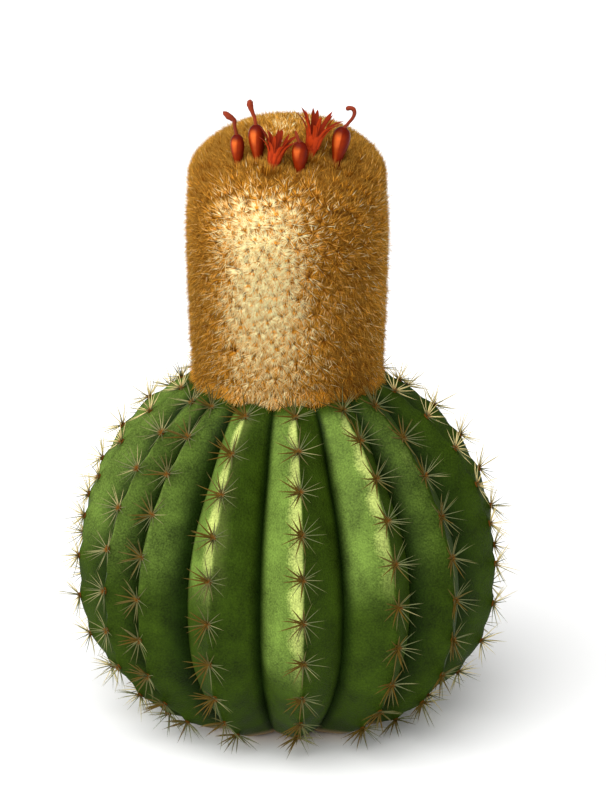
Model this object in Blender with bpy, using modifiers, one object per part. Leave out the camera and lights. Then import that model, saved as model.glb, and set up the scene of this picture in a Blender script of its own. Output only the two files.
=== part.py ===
"""Turk's cap cactus, lifted from the ground and standing on its corky root crown.

A ribbed, spiny stem carries a tall woolly cap, the cephalium, and red fruits and
flowers stand in the crown of the cap. Metres, +Z up, origin at the centre of the
flat root crown that the plant rests on. The front of the plant faces -Y, and an
azimuth is counted from -Y towards +X.
"""

import math
import random

import bmesh
import bpy
from mathutils import Matrix, Vector
from mathutils.geometry import delaunay_2d_cdt

MM = 0.001
GAP = 0.3 * MM
SEED = 7

# Stem: the outline that the crests of its ribs follow.
STEM_RADIUS = 123 * MM
STEM_WIDEST_AT = 93 * MM
STEM_RISE = 124.2 * MM
STEM_DROP = 99 * MM
STEM_LOWER_FULLNESS = 2.3
ROOT_CROWN_RADIUS = 22 * MM
SHOULDER_RADIUS = 56 * MM

# Ribs: the azimuth of each crest, in degrees, and the shape of a rib across.
RIB_AZIMUTHS = (-80, -57.5, -43, -21, 4.3, 30.5, 50.5, 77, 100, 123, 145, 167, 190, 213, 235, 258)
RIB_DEPTH = 17 * MM
RIB_PINCH = 0.78
RIB_BULGE = 3.0
RIB_SHARE_AT_SHOULDER = 0.25
RIB_STEPS = (-0.84, -0.45, 0.0, 0.45, 0.84, 1.0)

# Areoles: the woolly cushions on each crest, with their spines.
AREOLES = 10
AREOLE_SPACING = 24.5 * MM
FIRST_AREOLE_AT = 9 * MM
AREOLE_STAGGER = 9 * MM
AREOLE_RADIUS = 1.9 * MM
AREOLE_HEIGHT = 1.6 * MM
SPINES = 8
SPINE_LENGTH = 15.5 * MM
SPINE_LIFTS = (22, 48)
SPINE_FLOOR = 1.2 * MM

# Cephalium: the tips of its tufts follow a barrel with a rounded crown.
CAP_FOOT_RADIUS = 55.3 * MM
CAP_RADIUS = 58 * MM
CAP_WIDEST_AT = 0.72
CAP_WALL = 118 * MM
CAP_CROWN = 39 * MM
TUFT_POINTS = 560
TUFT_HEIGHT = 4 * MM
CAP_RIM_POINTS = 40
CAP_RIM_MARGIN = 4 * MM
FLAT_TOLERANCE = 1e-7
TUFT_LEAN_FOOT = 0
TUFT_LEAN_CROWN = 35
GOLDEN_ANGLE = math.pi * (3 - math.sqrt(5))

# Fruits and flowers: where each stands on the crown, and how it leans in X and Y, in degrees.
SOCKET_SINK = 8 * MM
SOCKET_CLEARANCE = 0.4 * MM
ROUND_SIDES = 14
FRUITS = {
    "fruit_far_left": dict(
        at=(-27.1, -36), radius=3.9, length=22, lean=(-2, -8),
        remnant=((0, 0, 0, 0.9), (-1.0, 0, 6, 0.8), (-1.2, 0, 9.5, 1.2), (-4, 0, 12, 1.7), (-7, 0, 15, 1.1)),
    ),
    "fruit_left": dict(
        at=(-15.9, -38), radius=4.7, length=25, lean=(-3, -4),
        remnant=((0, 0, 0, 0.9), (-0.4, 0, 5, 0.8), (-1.8, 0, 9.5, 1.1), (-2.6, 0, 13, 1.6), (-2.4, 0, 16, 1.3)),
    ),
    "fruit_middle": dict(
        at=(7, -45.2), radius=4.5, length=23, lean=(1, -14),
        remnant=((0, 0, 0, 1.0), (-1.2, 0, 3.2, 0.9), (-2.2, 0, 6.4, 0.7), (-2.6, 0, 8.2, 0.4)),
    ),
    "fruit_right": dict(
        at=(27, -34.5), radius=5.1, length=26, lean=(10, -8),
        remnant=((0, 0, 0, 1.0), (2.6, 0, 4.6, 0.8), (4.6, 0, 9, 0.9), (4, 0, 12.6, 1.1), (1.2, 0, 13.2, 1.2),
                 (0, 0, 11.6, 1.1)),
    ),
}
FLOWERS = {
    "flower_left": dict(at=(-8.8, -46.5), tube=13.5, throat=4.5, petal=15, spread=30, lean=(12, -6), turn=10),
    "flower_right": dict(at=(11.8, -40), tube=17, throat=5, petal=17, spread=31, lean=(14, -4), turn=33),
}
TUBE_RADIUS = 2.8 * MM
PETALS = 10
PETAL_WIDTH = 3.1 * MM
PETAL_THICKNESS = 0.8 * MM
INNER_SPREAD = 0.42

COLOURS = {
    "stem": ((0.12, 0.27, 0.06), 0.55),
    "cephalium": ((0.55, 0.37, 0.15), 0.95),
    "fruit": ((0.52, 0.06, 0.02), 0.3),
    "flower": ((0.66, 0.09, 0.03), 0.45),
}


# ---------------------------------------------------------------- scene and helpers


def clear_scene():
    for old in list(bpy.data.objects):
        bpy.data.objects.remove(old)
    for old in list(bpy.data.collections):
        bpy.data.collections.remove(old)


def new_collection(name):
    made = bpy.data.collections.new(name)
    bpy.context.scene.collection.children.link(made)
    return made


def material(kind):
    colour, roughness = COLOURS[kind]
    made = bpy.data.materials.new(kind)
    made.use_nodes = True
    shader = made.node_tree.nodes["Principled BSDF"]
    shader.inputs["Base Color"].default_value = (*colour, 1)
    shader.inputs["Roughness"].default_value = roughness
    shader.inputs["Metallic"].default_value = 0
    return made


def object_from(bm, name, collection):
    mesh = bpy.data.meshes.new(name)
    bm.to_mesh(mesh)
    bm.free()
    made = bpy.data.objects.new(name, mesh)
    collection.objects.link(made)
    return made


def apply_modifiers(obj):
    """Makes the evaluated mesh the object's own, so that no modifier is left."""
    bpy.context.view_layer.update()
    graph = bpy.context.evaluated_depsgraph_get()
    mesh = bpy.data.meshes.new_from_object(obj.evaluated_get(graph))
    obj.modifiers.clear()
    obj.data = mesh


def boolean(obj, operation, others, solver="EXACT"):
    """Joins or cuts obj with every object of a collection, and then removes those."""
    modifier = obj.modifiers.new(operation.lower(), "BOOLEAN")
    modifier.operation = operation
    modifier.operand_type = "COLLECTION"
    modifier.collection = others
    modifier.solver = solver
    apply_modifiers(obj)
    for used in list(others.objects):
        bpy.data.objects.remove(used)
    bpy.data.collections.remove(others)


def finish(obj, kind):
    obj.data.materials.clear()
    obj.data.materials.append(material(kind))
    obj.data.shade_smooth()
    obj.data.set_sharp_from_angle(angle=math.radians(40))
    return obj


def smooth_step(x):
    x = min(max(x, 0.0), 1.0)
    return x * x * (3 - 2 * x)


def around(azimuth, radius, height):
    """A point at this azimuth, in radians, from the front towards +X."""
    return Vector((radius * math.sin(azimuth), -radius * math.cos(azimuth), height))


# ---------------------------------------------------------------- stem


def crest_outline():
    """(radius, height) along a crest, from the shoulder down to the edge of the root crown."""
    shoulder = math.acos(SHOULDER_RADIUS / STEM_RADIUS)
    steps = 160
    upper = [
        (STEM_RADIUS * math.cos(a), STEM_WIDEST_AT + STEM_RISE * math.sin(a))
        for a in (shoulder * (1 - i / steps) for i in range(steps))
    ]
    power = 2 / STEM_LOWER_FULLNESS
    lower = [
        (
            STEM_RADIUS * math.cos(a) ** power,
            max(STEM_WIDEST_AT - STEM_DROP * math.sin(a) ** power, 0.0),
        )
        for a in (math.pi / 2 * i / (2 * steps) for i in range(2 * steps))
    ]
    return [p for p in upper + lower if p[0] >= ROOT_CROWN_RADIUS]


class Outline:
    """The crest outline, read by the distance along it from the shoulder."""

    def __init__(self, points):
        self.points = points
        self.lengths = [0.0]
        for a, b in zip(points, points[1:]):
            self.lengths.append(self.lengths[-1] + math.dist(a, b))
        self.length = self.lengths[-1]

    def at(self, distance):
        """(radius, height) there, and the outward direction square to the outline."""
        distance = min(max(distance, 0.0), self.length)
        i = 1
        while i < len(self.lengths) - 1 and self.lengths[i] < distance:
            i += 1
        a, b = self.points[i - 1], self.points[i]
        span = self.lengths[i] - self.lengths[i - 1]
        share = (distance - self.lengths[i - 1]) / span
        radius = a[0] + (b[0] - a[0]) * share
        height = a[1] + (b[1] - a[1]) * share
        outward = ((a[1] - b[1]) / span, (b[0] - a[0]) / span)
        return radius, height, outward


def rib_edges():
    """(left groove, crest, right groove) of each rib, as azimuths in radians."""
    crests = [math.radians(a) for a in RIB_AZIMUTHS]
    count = len(crests)
    edges = []
    for i, crest in enumerate(crests):
        before = crests[i - 1] - (2 * math.pi if i == 0 else 0)
        after = crests[(i + 1) % count] + (2 * math.pi if i == count - 1 else 0)
        edges.append(((before + crest) / 2, crest, (crest + after) / 2))
    return edges


def rib_height(across):
    """The height of a rib, 1 on its crest and 0 in the groove, at across from 0 to 1."""
    across = min(abs(across), 1.0)
    return RIB_PINCH * (1 - across) + (1 - RIB_PINCH) * math.sqrt(1 - across**RIB_BULGE)


def groove_depth(radius, height):
    """How deep the grooves are there: none at the root crown, shallow under the cap."""
    if height > STEM_WIDEST_AT:
        span = 0.8 * STEM_RADIUS - SHOULDER_RADIUS
        rise = smooth_step((radius - SHOULDER_RADIUS) / span)
        return RIB_DEPTH * (RIB_SHARE_AT_SHOULDER + (1 - RIB_SHARE_AT_SHOULDER) * rise)
    return RIB_DEPTH * smooth_step((radius - ROOT_CROWN_RADIUS) / (0.95 * STEM_RADIUS - ROOT_CROWN_RADIUS))


def stem_point(outline, edges, rib, across, distance):
    """A point of the stem's skin and its outward direction. across is -1 and 1 in the grooves."""
    left, crest, right = edges[rib]
    azimuth = crest + across * ((right - crest) if across > 0 else (crest - left))
    radius, height, outward = outline.at(distance)
    sink = groove_depth(radius, height) * (1 - rib_height(across))
    direction = around(azimuth, outward[0], outward[1])
    return around(azimuth, radius, height) - direction * sink, direction


def stagger(rib):
    """How far the areoles of a rib sit below those of the first one."""
    return AREOLE_STAGGER * ((rib * 0.618) % 1 - 0.5)


def ring_distances(outline):
    """Distances of the stem's rings from the shoulder: one on each areole and one between."""
    marks = [0.0]
    for k in range(AREOLES):
        marks += [FIRST_AREOLE_AT + k * AREOLE_SPACING, FIRST_AREOLE_AT + (k + 0.5) * AREOLE_SPACING]
    rim = next(length for length, point in zip(outline.lengths, outline.points) if point[1] <= 0.0)
    return [mark for mark in marks if mark < rim - 6 * MM] + [rim, outline.length]


def shifted(distance, rib, across, rim):
    """The distance of a vertex, moved with the stagger of its own rib and of its neighbour."""
    count = len(RIB_AZIMUTHS)
    neighbour = (rib + (1 if across > 0 else -1)) % count
    share = abs(across) / 2
    move = stagger(rib) * (1 - share) + stagger(neighbour) * share
    edge = min(distance, rim - distance)
    return distance + move * smooth_step(edge / (2 * FIRST_AREOLE_AT)) if edge > 0 else distance


def stem():
    """The ribbed stem from a UV sphere: its columns follow the ribs and its rings the outline."""
    outline, edges = Outline(crest_outline()), rib_edges()
    rings = ring_distances(outline)
    rim = rings[-2]
    columns = len(RIB_AZIMUTHS) * len(RIB_STEPS)
    bm = bmesh.new()
    bmesh.ops.create_uvsphere(bm, u_segments=columns, v_segments=len(rings) + 1, radius=1)
    crest_column = RIB_STEPS.index(0.0)
    areoles = {}
    for vertex in bm.verts:
        polar = math.acos(max(-1.0, min(1.0, vertex.co.z)))
        ring = round(polar / math.pi * (len(rings) + 1)) - 1
        if ring < 0 or ring >= len(rings):
            radius, height, _ = outline.at(0.0 if ring < 0 else outline.length)
            vertex.co = (0, 0, height)
            continue
        column = round((math.atan2(vertex.co.x, -vertex.co.y) / (2 * math.pi)) * columns) % columns
        rib, step = divmod(column, len(RIB_STEPS))
        across = RIB_STEPS[step]
        distance = shifted(rings[ring], rib, across, rim)
        vertex.co, _ = stem_point(outline, edges, rib, across, distance)
        if ring == len(rings) - 1:
            vertex.co.z = 0.0
        if step == crest_column and ring % 2 == 1 and ring < 2 * AREOLES:
            areoles[vertex] = (rib, distance)
    grow_spines(bm, areoles, outline, edges)
    return bm


def grow_spines(bm, areoles, outline, edges):
    """Turns each areole's vertex into a cushion, and draws each wedge of it out to a spine."""
    rng = random.Random(SEED)
    for vertex, (rib, distance) in list(areoles.items()):
        foot, out = stem_point(outline, edges, rib, 0.0, distance)
        below, _ = stem_point(outline, edges, rib, 0.0, distance + MM)
        up = (foot - below).normalized()
        side = up.cross(out).normalized()
        bmesh.ops.dissolve_verts(bm, verts=[vertex])
        face = min(
            (f for f in bm.faces if len(f.verts) == SPINES),
            key=lambda f: (f.calc_center_median() - foot).length,
        )
        bmesh.ops.inset_individual(bm, faces=[face], thickness=AREOLE_RADIUS)
        for corner in face.verts:
            turn = corner.co - foot
            angle = math.atan2(turn.dot(up), turn.dot(side))
            eighth = 2 * math.pi / SPINES
            angle = round(angle / eighth) * eighth
            corner.co = foot + AREOLE_RADIUS * (math.cos(angle) * side + math.sin(angle) * up) - 0.35 * MM * out
        cushion = bmesh.ops.poke(bm, faces=[face])
        cushion["verts"][0].co = foot + AREOLE_HEIGHT * out
        wedges = bmesh.ops.poke(bm, faces=cushion["faces"])
        for i, tip in enumerate(wedges["verts"]):
            lean = tip.co - foot
            angle = math.atan2(lean.dot(up), lean.dot(side)) + math.radians(rng.uniform(-6, 6))
            lift = math.radians(SPINE_LIFTS[i % 2] + rng.uniform(-5, 5))
            length = SPINE_LENGTH * rng.uniform(0.85, 1.0)
            flat = math.cos(angle) * side + math.sin(angle) * up
            tip.co = clear_of_neighbours(foot + length * (math.cos(lift) * flat + math.sin(lift) * out))


def clear_of_neighbours(tip):
    """Keeps a spine's tip off the ground and out of the cephalium."""
    tip.z = max(tip.z, SPINE_FLOOR)
    radius = math.hypot(tip.x, tip.y)
    least = CAP_FOOT_RADIUS + 3 * MM
    if tip.z > STEM_WIDEST_AT and radius < least:
        tip.x *= least / radius
        tip.y *= least / radius
    return tip


# ---------------------------------------------------------------- cephalium


def cap_foot():
    """The height of the flat on top of the stem."""
    return STEM_WIDEST_AT + STEM_RISE * math.sin(math.acos(SHOULDER_RADIUS / STEM_RADIUS))


def cap_outline(inset=0.0):
    """(radius, height) of the cephalium from its foot to the middle of its crown."""
    steps = 120
    foot = cap_foot() + GAP
    wall = []
    for i in range(steps):
        share = i / steps
        drop = (share - CAP_WIDEST_AT) / CAP_WIDEST_AT
        radius = CAP_RADIUS - (CAP_RADIUS - CAP_FOOT_RADIUS) * drop * drop
        wall.append((radius - inset, foot + CAP_WALL * share))
    top_radius = CAP_RADIUS - (CAP_RADIUS - CAP_FOOT_RADIUS) * ((1 - CAP_WIDEST_AT) / CAP_WIDEST_AT) ** 2
    crown = [
        ((top_radius - inset) * math.cos(a), foot + CAP_WALL + (CAP_CROWN - inset) * math.sin(a))
        for a in (math.pi / 2 * i / steps for i in range(steps + 1))
    ]
    return wall + crown


def spiral_points(outline, count):
    """Points in one spiral that share the surface evenly, as areoles follow each other on a growing plant.

    Each comes as its azimuth, its radius, its height and its spread, which is how far out it lies when the
    surface is laid out flat by a map that keeps angles.
    """
    areas, stretches = [0.0], [0.0]
    for a, b in zip(outline, outline[1:]):
        step, middle = math.dist(a, b), (a[0] + b[0]) / 2
        areas.append(areas[-1] + middle * step)
        stretches.append(stretches[-1] - step / max(middle, MM))
    found, i = [(2 * math.pi * n / CAP_RIM_POINTS, *outline[0], 1.0) for n in range(CAP_RIM_POINTS)], 1
    for k in range(count):
        area = areas[-1] * (k + 0.5) / count
        while areas[i] < area:
            i += 1
        share = (area - areas[i - 1]) / (areas[i] - areas[i - 1])
        radius = outline[i - 1][0] + (outline[i][0] - outline[i - 1][0]) * share
        height = outline[i - 1][1] + (outline[i][1] - outline[i - 1][1]) * share
        stretch = stretches[i - 1] + (stretches[i] - stretches[i - 1]) * share
        if height > outline[0][1] + CAP_RIM_MARGIN:
            found.append((k * GOLDEN_ANGLE, radius, height, math.exp(stretch)))
    return found


def cephalium():
    """A net of facets over a spiral of points, with each facet drawn out to a pointed tuft of bristles."""
    outline = cap_outline(inset=TUFT_HEIGHT)
    points = spiral_points(outline, TUFT_POINTS)
    flat = [Vector((spread * math.sin(a), -spread * math.cos(a))) for a, _, _, spread in points]
    _, _, faces, sources, _, _ = delaunay_2d_cdt(flat, [], [], 0, FLAT_TOLERANCE)
    bm = bmesh.new()
    verts = [bm.verts.new(around(*points[source[0]][:3])) for source in sources]
    for face in faces:
        bm.faces.new([verts[i] for i in face])
    net = list(bm.faces)
    bmesh.ops.contextual_create(bm, geom=[edge for edge in bm.edges if edge.is_boundary])
    bmesh.ops.recalc_face_normals(bm, faces=bm.faces)
    foot, top = outline[0][1], outline[-1][1]
    poked = bmesh.ops.poke(bm, faces=net)
    for tip in poked["verts"]:
        share = smooth_step((tip.co.z - foot) / (top - foot))
        lean = math.radians(TUFT_LEAN_FOOT + (TUFT_LEAN_CROWN - TUFT_LEAN_FOOT) * share)
        out = sum((face.normal for face in tip.link_faces), Vector()).normalized()
        up = Vector((0, 0, 1)) - out * out.z
        tip.co += TUFT_HEIGHT * (out * math.cos(lean) + up * math.sin(lean))
    return bm


# ---------------------------------------------------------------- fruits and flowers


def crown_height(x, y, inset=0.0):
    """The height of the crown's surface over a point."""
    outline = cap_outline(inset)
    radius = math.hypot(x, y)
    for a, b in zip(outline, outline[1:]):
        if b[0] <= radius < a[0]:
            return a[1] + (b[1] - a[1]) * (a[0] - radius) / (a[0] - b[0])
    return outline[-1][1]


def stand(obj, spec):
    """Moves an object modelled upright at the origin to its place in the crown, and leans it."""
    x, y = spec["at"][0] * MM, spec["at"][1] * MM
    lean_x, lean_y = (math.radians(a) for a in spec["lean"])
    turn = Matrix.Rotation(lean_x, 4, "Y") @ Matrix.Rotation(-lean_y, 4, "X")
    front = y - spec.get("radius", 0) * MM
    base = Vector((x, y, crown_height(x, front) - SOCKET_SINK))
    obj.matrix_world = Matrix.Translation(base) @ turn


def turned(name, profile, collection):
    """A solid of revolution. The profile runs down its outer side, from the top to the bottom."""
    mesh = bpy.data.meshes.new(name)
    mesh.from_pydata([(r, 0, z) for r, z in profile], [(i, i + 1) for i in range(len(profile) - 1)], [])
    made = bpy.data.objects.new(name, mesh)
    collection.objects.link(made)
    screw = made.modifiers.new("turn", "SCREW")
    screw.steps = screw.render_steps = ROUND_SIDES
    screw.use_merge_vertices = True
    screw.merge_threshold = 0.00001
    apply_modifiers(made)
    return made


def fruit_profile(spec, grow=0.0):
    """A berry that is slim at its foot and widest a third below its top."""
    radius, length = spec["radius"] * MM, spec["length"] * MM
    shape = ((0.0, 1.0), (0.4, 0.98), (0.72, 0.925), (0.94, 0.83), (1.0, 0.71), (0.95, 0.58), (0.81, 0.45),
             (0.64, 0.31), (0.54, 0.18), (0.48, 0.0), (0.0, 0.0))
    points = [(radius * r + (grow if r else 0), length * z) for r, z in shape]
    if grow:
        points[0] = (0.0, points[0][1] + grow)
        points[-2:] = [(points[-2][0], -grow), (0.0, -grow)]
    return points


def flower_profile(spec, grow=0.0):
    """A slim tube that opens to a shallow cup."""
    length, throat = spec["tube"] * MM, spec["throat"] * MM
    if grow:
        return [(0.0, length), (throat + grow, length), (TUBE_RADIUS + grow, 0.35 * length),
                (TUBE_RADIUS + grow, -grow), (0.0, -grow)]
    return [(0.0, 0.62 * length), (0.45 * throat, 0.66 * length), (0.78 * throat, length), (throat, length),
            (0.86 * throat, 0.72 * length), (TUBE_RADIUS, 0.35 * length), (TUBE_RADIUS, 0.0), (0.0, 0.0)]


def remnant(spec, collection):
    """The withered flower that stays on a fruit: a thin curled thread with a thicker end."""
    curve = bpy.data.curves.new("remnant", "CURVE")
    curve.dimensions = "3D"
    curve.bevel_depth = MM
    curve.bevel_resolution = 1
    curve.resolution_u = 3
    curve.use_fill_caps = True
    spline = curve.splines.new("BEZIER")
    points = spec["remnant"]
    spline.bezier_points.add(len(points) - 1)
    foot = spec["length"] * 0.94
    for point, (x, y, z, radius) in zip(spline.bezier_points, points):
        point.co = (x * MM, y * MM, (foot + z) * MM)
        point.radius = radius
        point.handle_left_type = point.handle_right_type = "AUTO"
    made = bpy.data.objects.new("remnant_curve", curve)
    collection.objects.link(made)
    bpy.context.view_layer.update()
    graph = bpy.context.evaluated_depsgraph_get()
    mesh = bpy.data.meshes.new_from_object(made.evaluated_get(graph))
    bpy.data.objects.remove(made)
    bm = bmesh.new()
    bm.from_mesh(mesh)
    bmesh.ops.remove_doubles(bm, verts=bm.verts, dist=0.00001)
    bmesh.ops.recalc_face_normals(bm, faces=bm.faces)
    return object_from(bm, "remnant_solid", collection)


def petal(spec, index, collection):
    """One narrow pointed petal, an arched blade that rises from the rim of the tube."""
    rows, columns = 4, 2
    length = spec["petal"] * MM
    spread = math.radians(spec["spread"]) * (1 if index % 2 else INNER_SPREAD)
    bm = bmesh.new()
    bmesh.ops.create_grid(bm, x_segments=columns, y_segments=rows, size=0.5)
    for vertex in bm.verts:
        across, along = vertex.co.x * 2, vertex.co.y + 0.5
        width = PETAL_WIDTH * (0.62 + 0.9 * along) * (1 - along**2.2) + 0.15 * MM
        angle = spread * (0.25 + 0.95 * along)
        out, rise = length * along * math.sin(angle), length * along * math.cos(angle)
        keel = 0.12 * PETAL_WIDTH * (1 - abs(across))
        vertex.co = (across * width / 2, -out - keel, rise)
    bmesh.ops.triangulate(bm, faces=bm.faces)
    made = object_from(bm, "petal", collection)
    solidify = made.modifiers.new("thickness", "SOLIDIFY")
    solidify.thickness = PETAL_THICKNESS
    solidify.offset = 0
    apply_modifiers(made)
    angle = math.radians(spec["turn"]) + 2 * math.pi * index / PETALS
    rim = 0.84 * spec["throat"] * MM
    made.matrix_world = Matrix.Rotation(angle, 4, "Z") @ Matrix.Translation(
        (0, -rim, (spec["tube"] - 2.5) * MM)
    )
    return made


def fruit(name, spec, collection):
    made = turned(name, fruit_profile(spec), collection)
    extras = new_collection("extras")
    remnant(spec, extras)
    boolean(made, "UNION", extras)
    stand(made, spec)
    return finish(made, "fruit")


def flower(name, spec, collection):
    made = turned(name, flower_profile(spec), collection)
    petals = new_collection("petals")
    for i in range(PETALS):
        petal(spec, i, petals)
    boolean(made, "UNION", petals, "MANIFOLD")
    stand(made, spec)
    return finish(made, "flower")


def cut_sockets(cap):
    """Cuts a pocket in the wool for each fruit and flower, a little wider than what stands in it."""
    cutters = new_collection("cutters")
    for name, spec in FRUITS.items():
        stand(turned(name + "_pocket", fruit_profile(spec, SOCKET_CLEARANCE), cutters), spec)
    for name, spec in FLOWERS.items():
        stand(turned(name + "_pocket", flower_profile(spec, SOCKET_CLEARANCE), cutters), spec)
    boolean(cap, "DIFFERENCE", cutters)


def main():
    clear_scene()
    plant = new_collection("turks_cap_cactus")
    finish(object_from(stem(), "stem", plant), "stem")
    cap = object_from(cephalium(), "cephalium", plant)
    cut_sockets(cap)
    finish(cap, "cephalium")
    for name, spec in FRUITS.items():
        fruit(name, spec, plant)
    for name, spec in FLOWERS.items():
        flower(name, spec, plant)


main()
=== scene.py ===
"""Turk's cap cactus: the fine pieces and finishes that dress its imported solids.

Run as a script in Blender 4.5. Metres, +Z up. The front of the plant faces -Y, and an azimuth is
counted from -Y towards +X. Each piece follows the same outlines as the solid that it stands for.
"""

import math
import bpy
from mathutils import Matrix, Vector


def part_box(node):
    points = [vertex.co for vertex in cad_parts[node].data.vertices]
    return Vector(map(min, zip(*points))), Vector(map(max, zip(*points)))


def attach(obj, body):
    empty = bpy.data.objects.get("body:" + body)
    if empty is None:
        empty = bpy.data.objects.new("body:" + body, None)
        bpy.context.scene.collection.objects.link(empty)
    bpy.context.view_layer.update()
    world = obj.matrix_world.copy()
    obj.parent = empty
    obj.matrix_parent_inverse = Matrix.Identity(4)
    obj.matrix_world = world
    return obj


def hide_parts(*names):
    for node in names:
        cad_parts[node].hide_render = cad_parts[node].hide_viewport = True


bl_info = {
    "name": "Turk's Cap Cactus",
    "version": (1, 0, 0),
    "blender": (4, 5, 0),
    "location": "View3D > Sidebar > Cactus",
    "description": "Grows a ribbed cactus with starry spines, a bristly cap, red fruits and flowers",
    "category": "Add Mesh",
}

from typing import NamedTuple

import bpy
import numpy as np
from bpy.props import FloatProperty, FloatVectorProperty, IntProperty, PointerProperty
from mathutils import Matrix, Vector

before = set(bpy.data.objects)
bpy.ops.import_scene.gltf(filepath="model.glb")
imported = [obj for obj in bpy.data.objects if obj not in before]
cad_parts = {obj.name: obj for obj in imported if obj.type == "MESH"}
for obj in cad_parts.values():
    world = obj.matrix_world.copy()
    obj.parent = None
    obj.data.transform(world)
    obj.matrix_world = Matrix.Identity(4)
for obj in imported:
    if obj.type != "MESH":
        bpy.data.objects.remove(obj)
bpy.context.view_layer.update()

MM = 0.001
TURN = 2 * math.pi
GOLDEN_ANGLE = math.pi * (3 - math.sqrt(5))
GOLDEN_SHARE = 0.618

# The map that carries the shade and the height of each hair, its empty border, and a hair's half-width in it.
BAKE_MAP = "OFBake"
BAKE_BORDER = 0.02
BAKE_HAIR = 0.006

# The stem's outline along its rib crests.
STEM_RADIUS = 123 * MM
STEM_WIDEST_AT = 93 * MM
STEM_RISE = 124.2 * MM
STEM_DROP = 99 * MM
STEM_LOWER_FULLNESS = 2.3
ROOT_CROWN_RADIUS = 22 * MM
SHOULDER_RADIUS = 56 * MM

# The ribs: the azimuth of each crest, in degrees, the shape of a rib across, and the stem's radius
# where the grooves reach their full depth above and below its widest place.
RIB_AZIMUTHS = (-80, -57.5, -43, -21, 4.3, 30.5, 50.5, 77, 100, 123, 145, 167, 190, 213, 235, 258)
RIB_DEPTH = 17 * MM
RIB_PINCH = 0.78
RIB_BULGE = 3.0
RIB_SHARE_AT_SHOULDER = 0.25
FULL_GROOVE_ABOVE = 0.8 * STEM_RADIUS
FULL_GROOVE_BELOW = 0.95 * STEM_RADIUS

# The skin's relief: wobbles as (height, size, seed), and a crest that swells at each areole and dips
# above it, over this share of a rib's half-width. It dies away towards the ground and the cap.
WOBBLES = ((0.7 * MM, 55 * MM, 3), (0.25 * MM, 18 * MM, 4))
SWELLING = 0.9 * MM
SWELLING_REACH = 6 * MM
DIP = 0.7 * MM
DIP_REACH = 3.5 * MM
DIP_ABOVE = 9 * MM
CREST_WIDTH = 0.22
PLAIN_NEAR_GROUND = 12 * MM
PLAIN_NEAR_CAP = 20 * MM

# The skin's rows of points crowd by this share towards the middle of the stem's side, and this many lie
# underneath it. Its columns crowd towards each crest by this power.
ROW_CROWDING = 0.06
UNDERSIDE_ROWS = 11
COLUMN_CROWDING = 1.15

# The areoles, the cushions on the crests that carry the spines. Felt is (least, most) long, in millimetres.
AREOLES = 10
AREOLE_SPACING = 24.5 * MM
FIRST_AREOLE_AT = 9 * MM
LAST_AREOLE_ABOVE = 6 * MM
AREOLE_STAGGER = 9 * MM
CUSHION_WIDTH = 1.5 * MM
CUSHION_HEIGHT = 2.0 * MM
CUSHION_DEPTH = 1.3 * MM
CUSHION_SINK = 0.5 * MM
FELT_HAIRS = 34
FELT_LENGTH = (1.3, 2.2)
FELT_RADIUS = 0.2 * MM
CENTRAL_SPINES = 3
SPINE_FLOOR = 1.0 * MM
SPINE_CLEARANCE = 2 * MM
SPINES_NEAR_CAP = 4 * MM

# The spines, as (least, most): their rise from the skin, in degrees, and their share of the full length.
# Radial spines are also spaced unevenly, by up to this share of the gap between two.
RADIAL_RISE = (4, 34)
CENTRAL_RISE = (42, 75)
RADIAL_SHARE = (0.78, 1.0)
CENTRAL_SHARE = (0.8, 1.0)
RADIAL_UNEVENNESS = 0.28

# The skin near the ground turns to cork between these heights.
CORK_FROM = 10 * MM
CORK_FULL = 2 * MM

# The cap's outline along the tips of its bristles.
CAP_FOOT_RADIUS = 55.3 * MM
CAP_RADIUS = 58 * MM
CAP_WIDEST_AT = 0.72
CAP_WALL = 118 * MM
CAP_CROWN = 39 * MM
CAP_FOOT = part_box("cephalium")[0].z

# The cap's tufts are shared out among these pieces, and stand this unevenly. Each bloom has a collar of
# bristles, and a fringe of hairs hangs over the ribs. Lengths are (least, most), in millimetres.
BRISTLE_PIECES = 4
TUFT_UNEVENNESS = 0.9 * MM
COLLAR_BRISTLES = 200
COLLAR_LENGTH = (7, 10)
FRINGE_HAIRS = 2600
FRINGE_LENGTH = (6, 9)
FRINGE_RADIUS = 0.22 * MM

# The middle rib's azimuth at the front, and the sides from which painted light falls on the skin and the
# fruits.
FRONT_AT = math.radians(4)
PAINTED_LIGHT_SIDE = np.array([-0.72, -0.60, 0.35])
PAINTED_HIGHLIGHT_SIDE = np.array([-0.42, -0.88, 0.22])

# How far round from the middle rib the skin's painted shade changes and spines turn to straw, as (start,
# reach).
SKIN_TURN = (math.radians(27), math.radians(18))
STRAW_TURN = (math.radians(40), math.radians(34))

# The cap's painted light and shade: the azimuth and half-width of the painted highlight on the front, which
# swings a little to the right down the wall, of the painted shade on the right flank and on the left edge.
PAINTED_LIGHT_AT = math.radians(-17)
PAINTED_LIGHT_SWING = math.radians(8)
PAINTED_LIGHT_WIDTH = 0.43
SHADED_AT = math.radians(46)
SHADED_WIDTH = 0.34
LIMB_AT = math.radians(-66)
LIMB_WIDTH = 0.32

# Zones up the cap, each as (start, reach) of its rise and of its fall.
WALL_ZONE = ((-0.05, 0.46), (0.62, 0.2))
SHOULDER_ZONE = ((0.72, 0.08), (0.9, 0.07))
CROWN_RISE = (0.72, 0.2)
RIM_RISE = (0.93, 0.06)
LYING_RISE = (0.76, 0.16)

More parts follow.
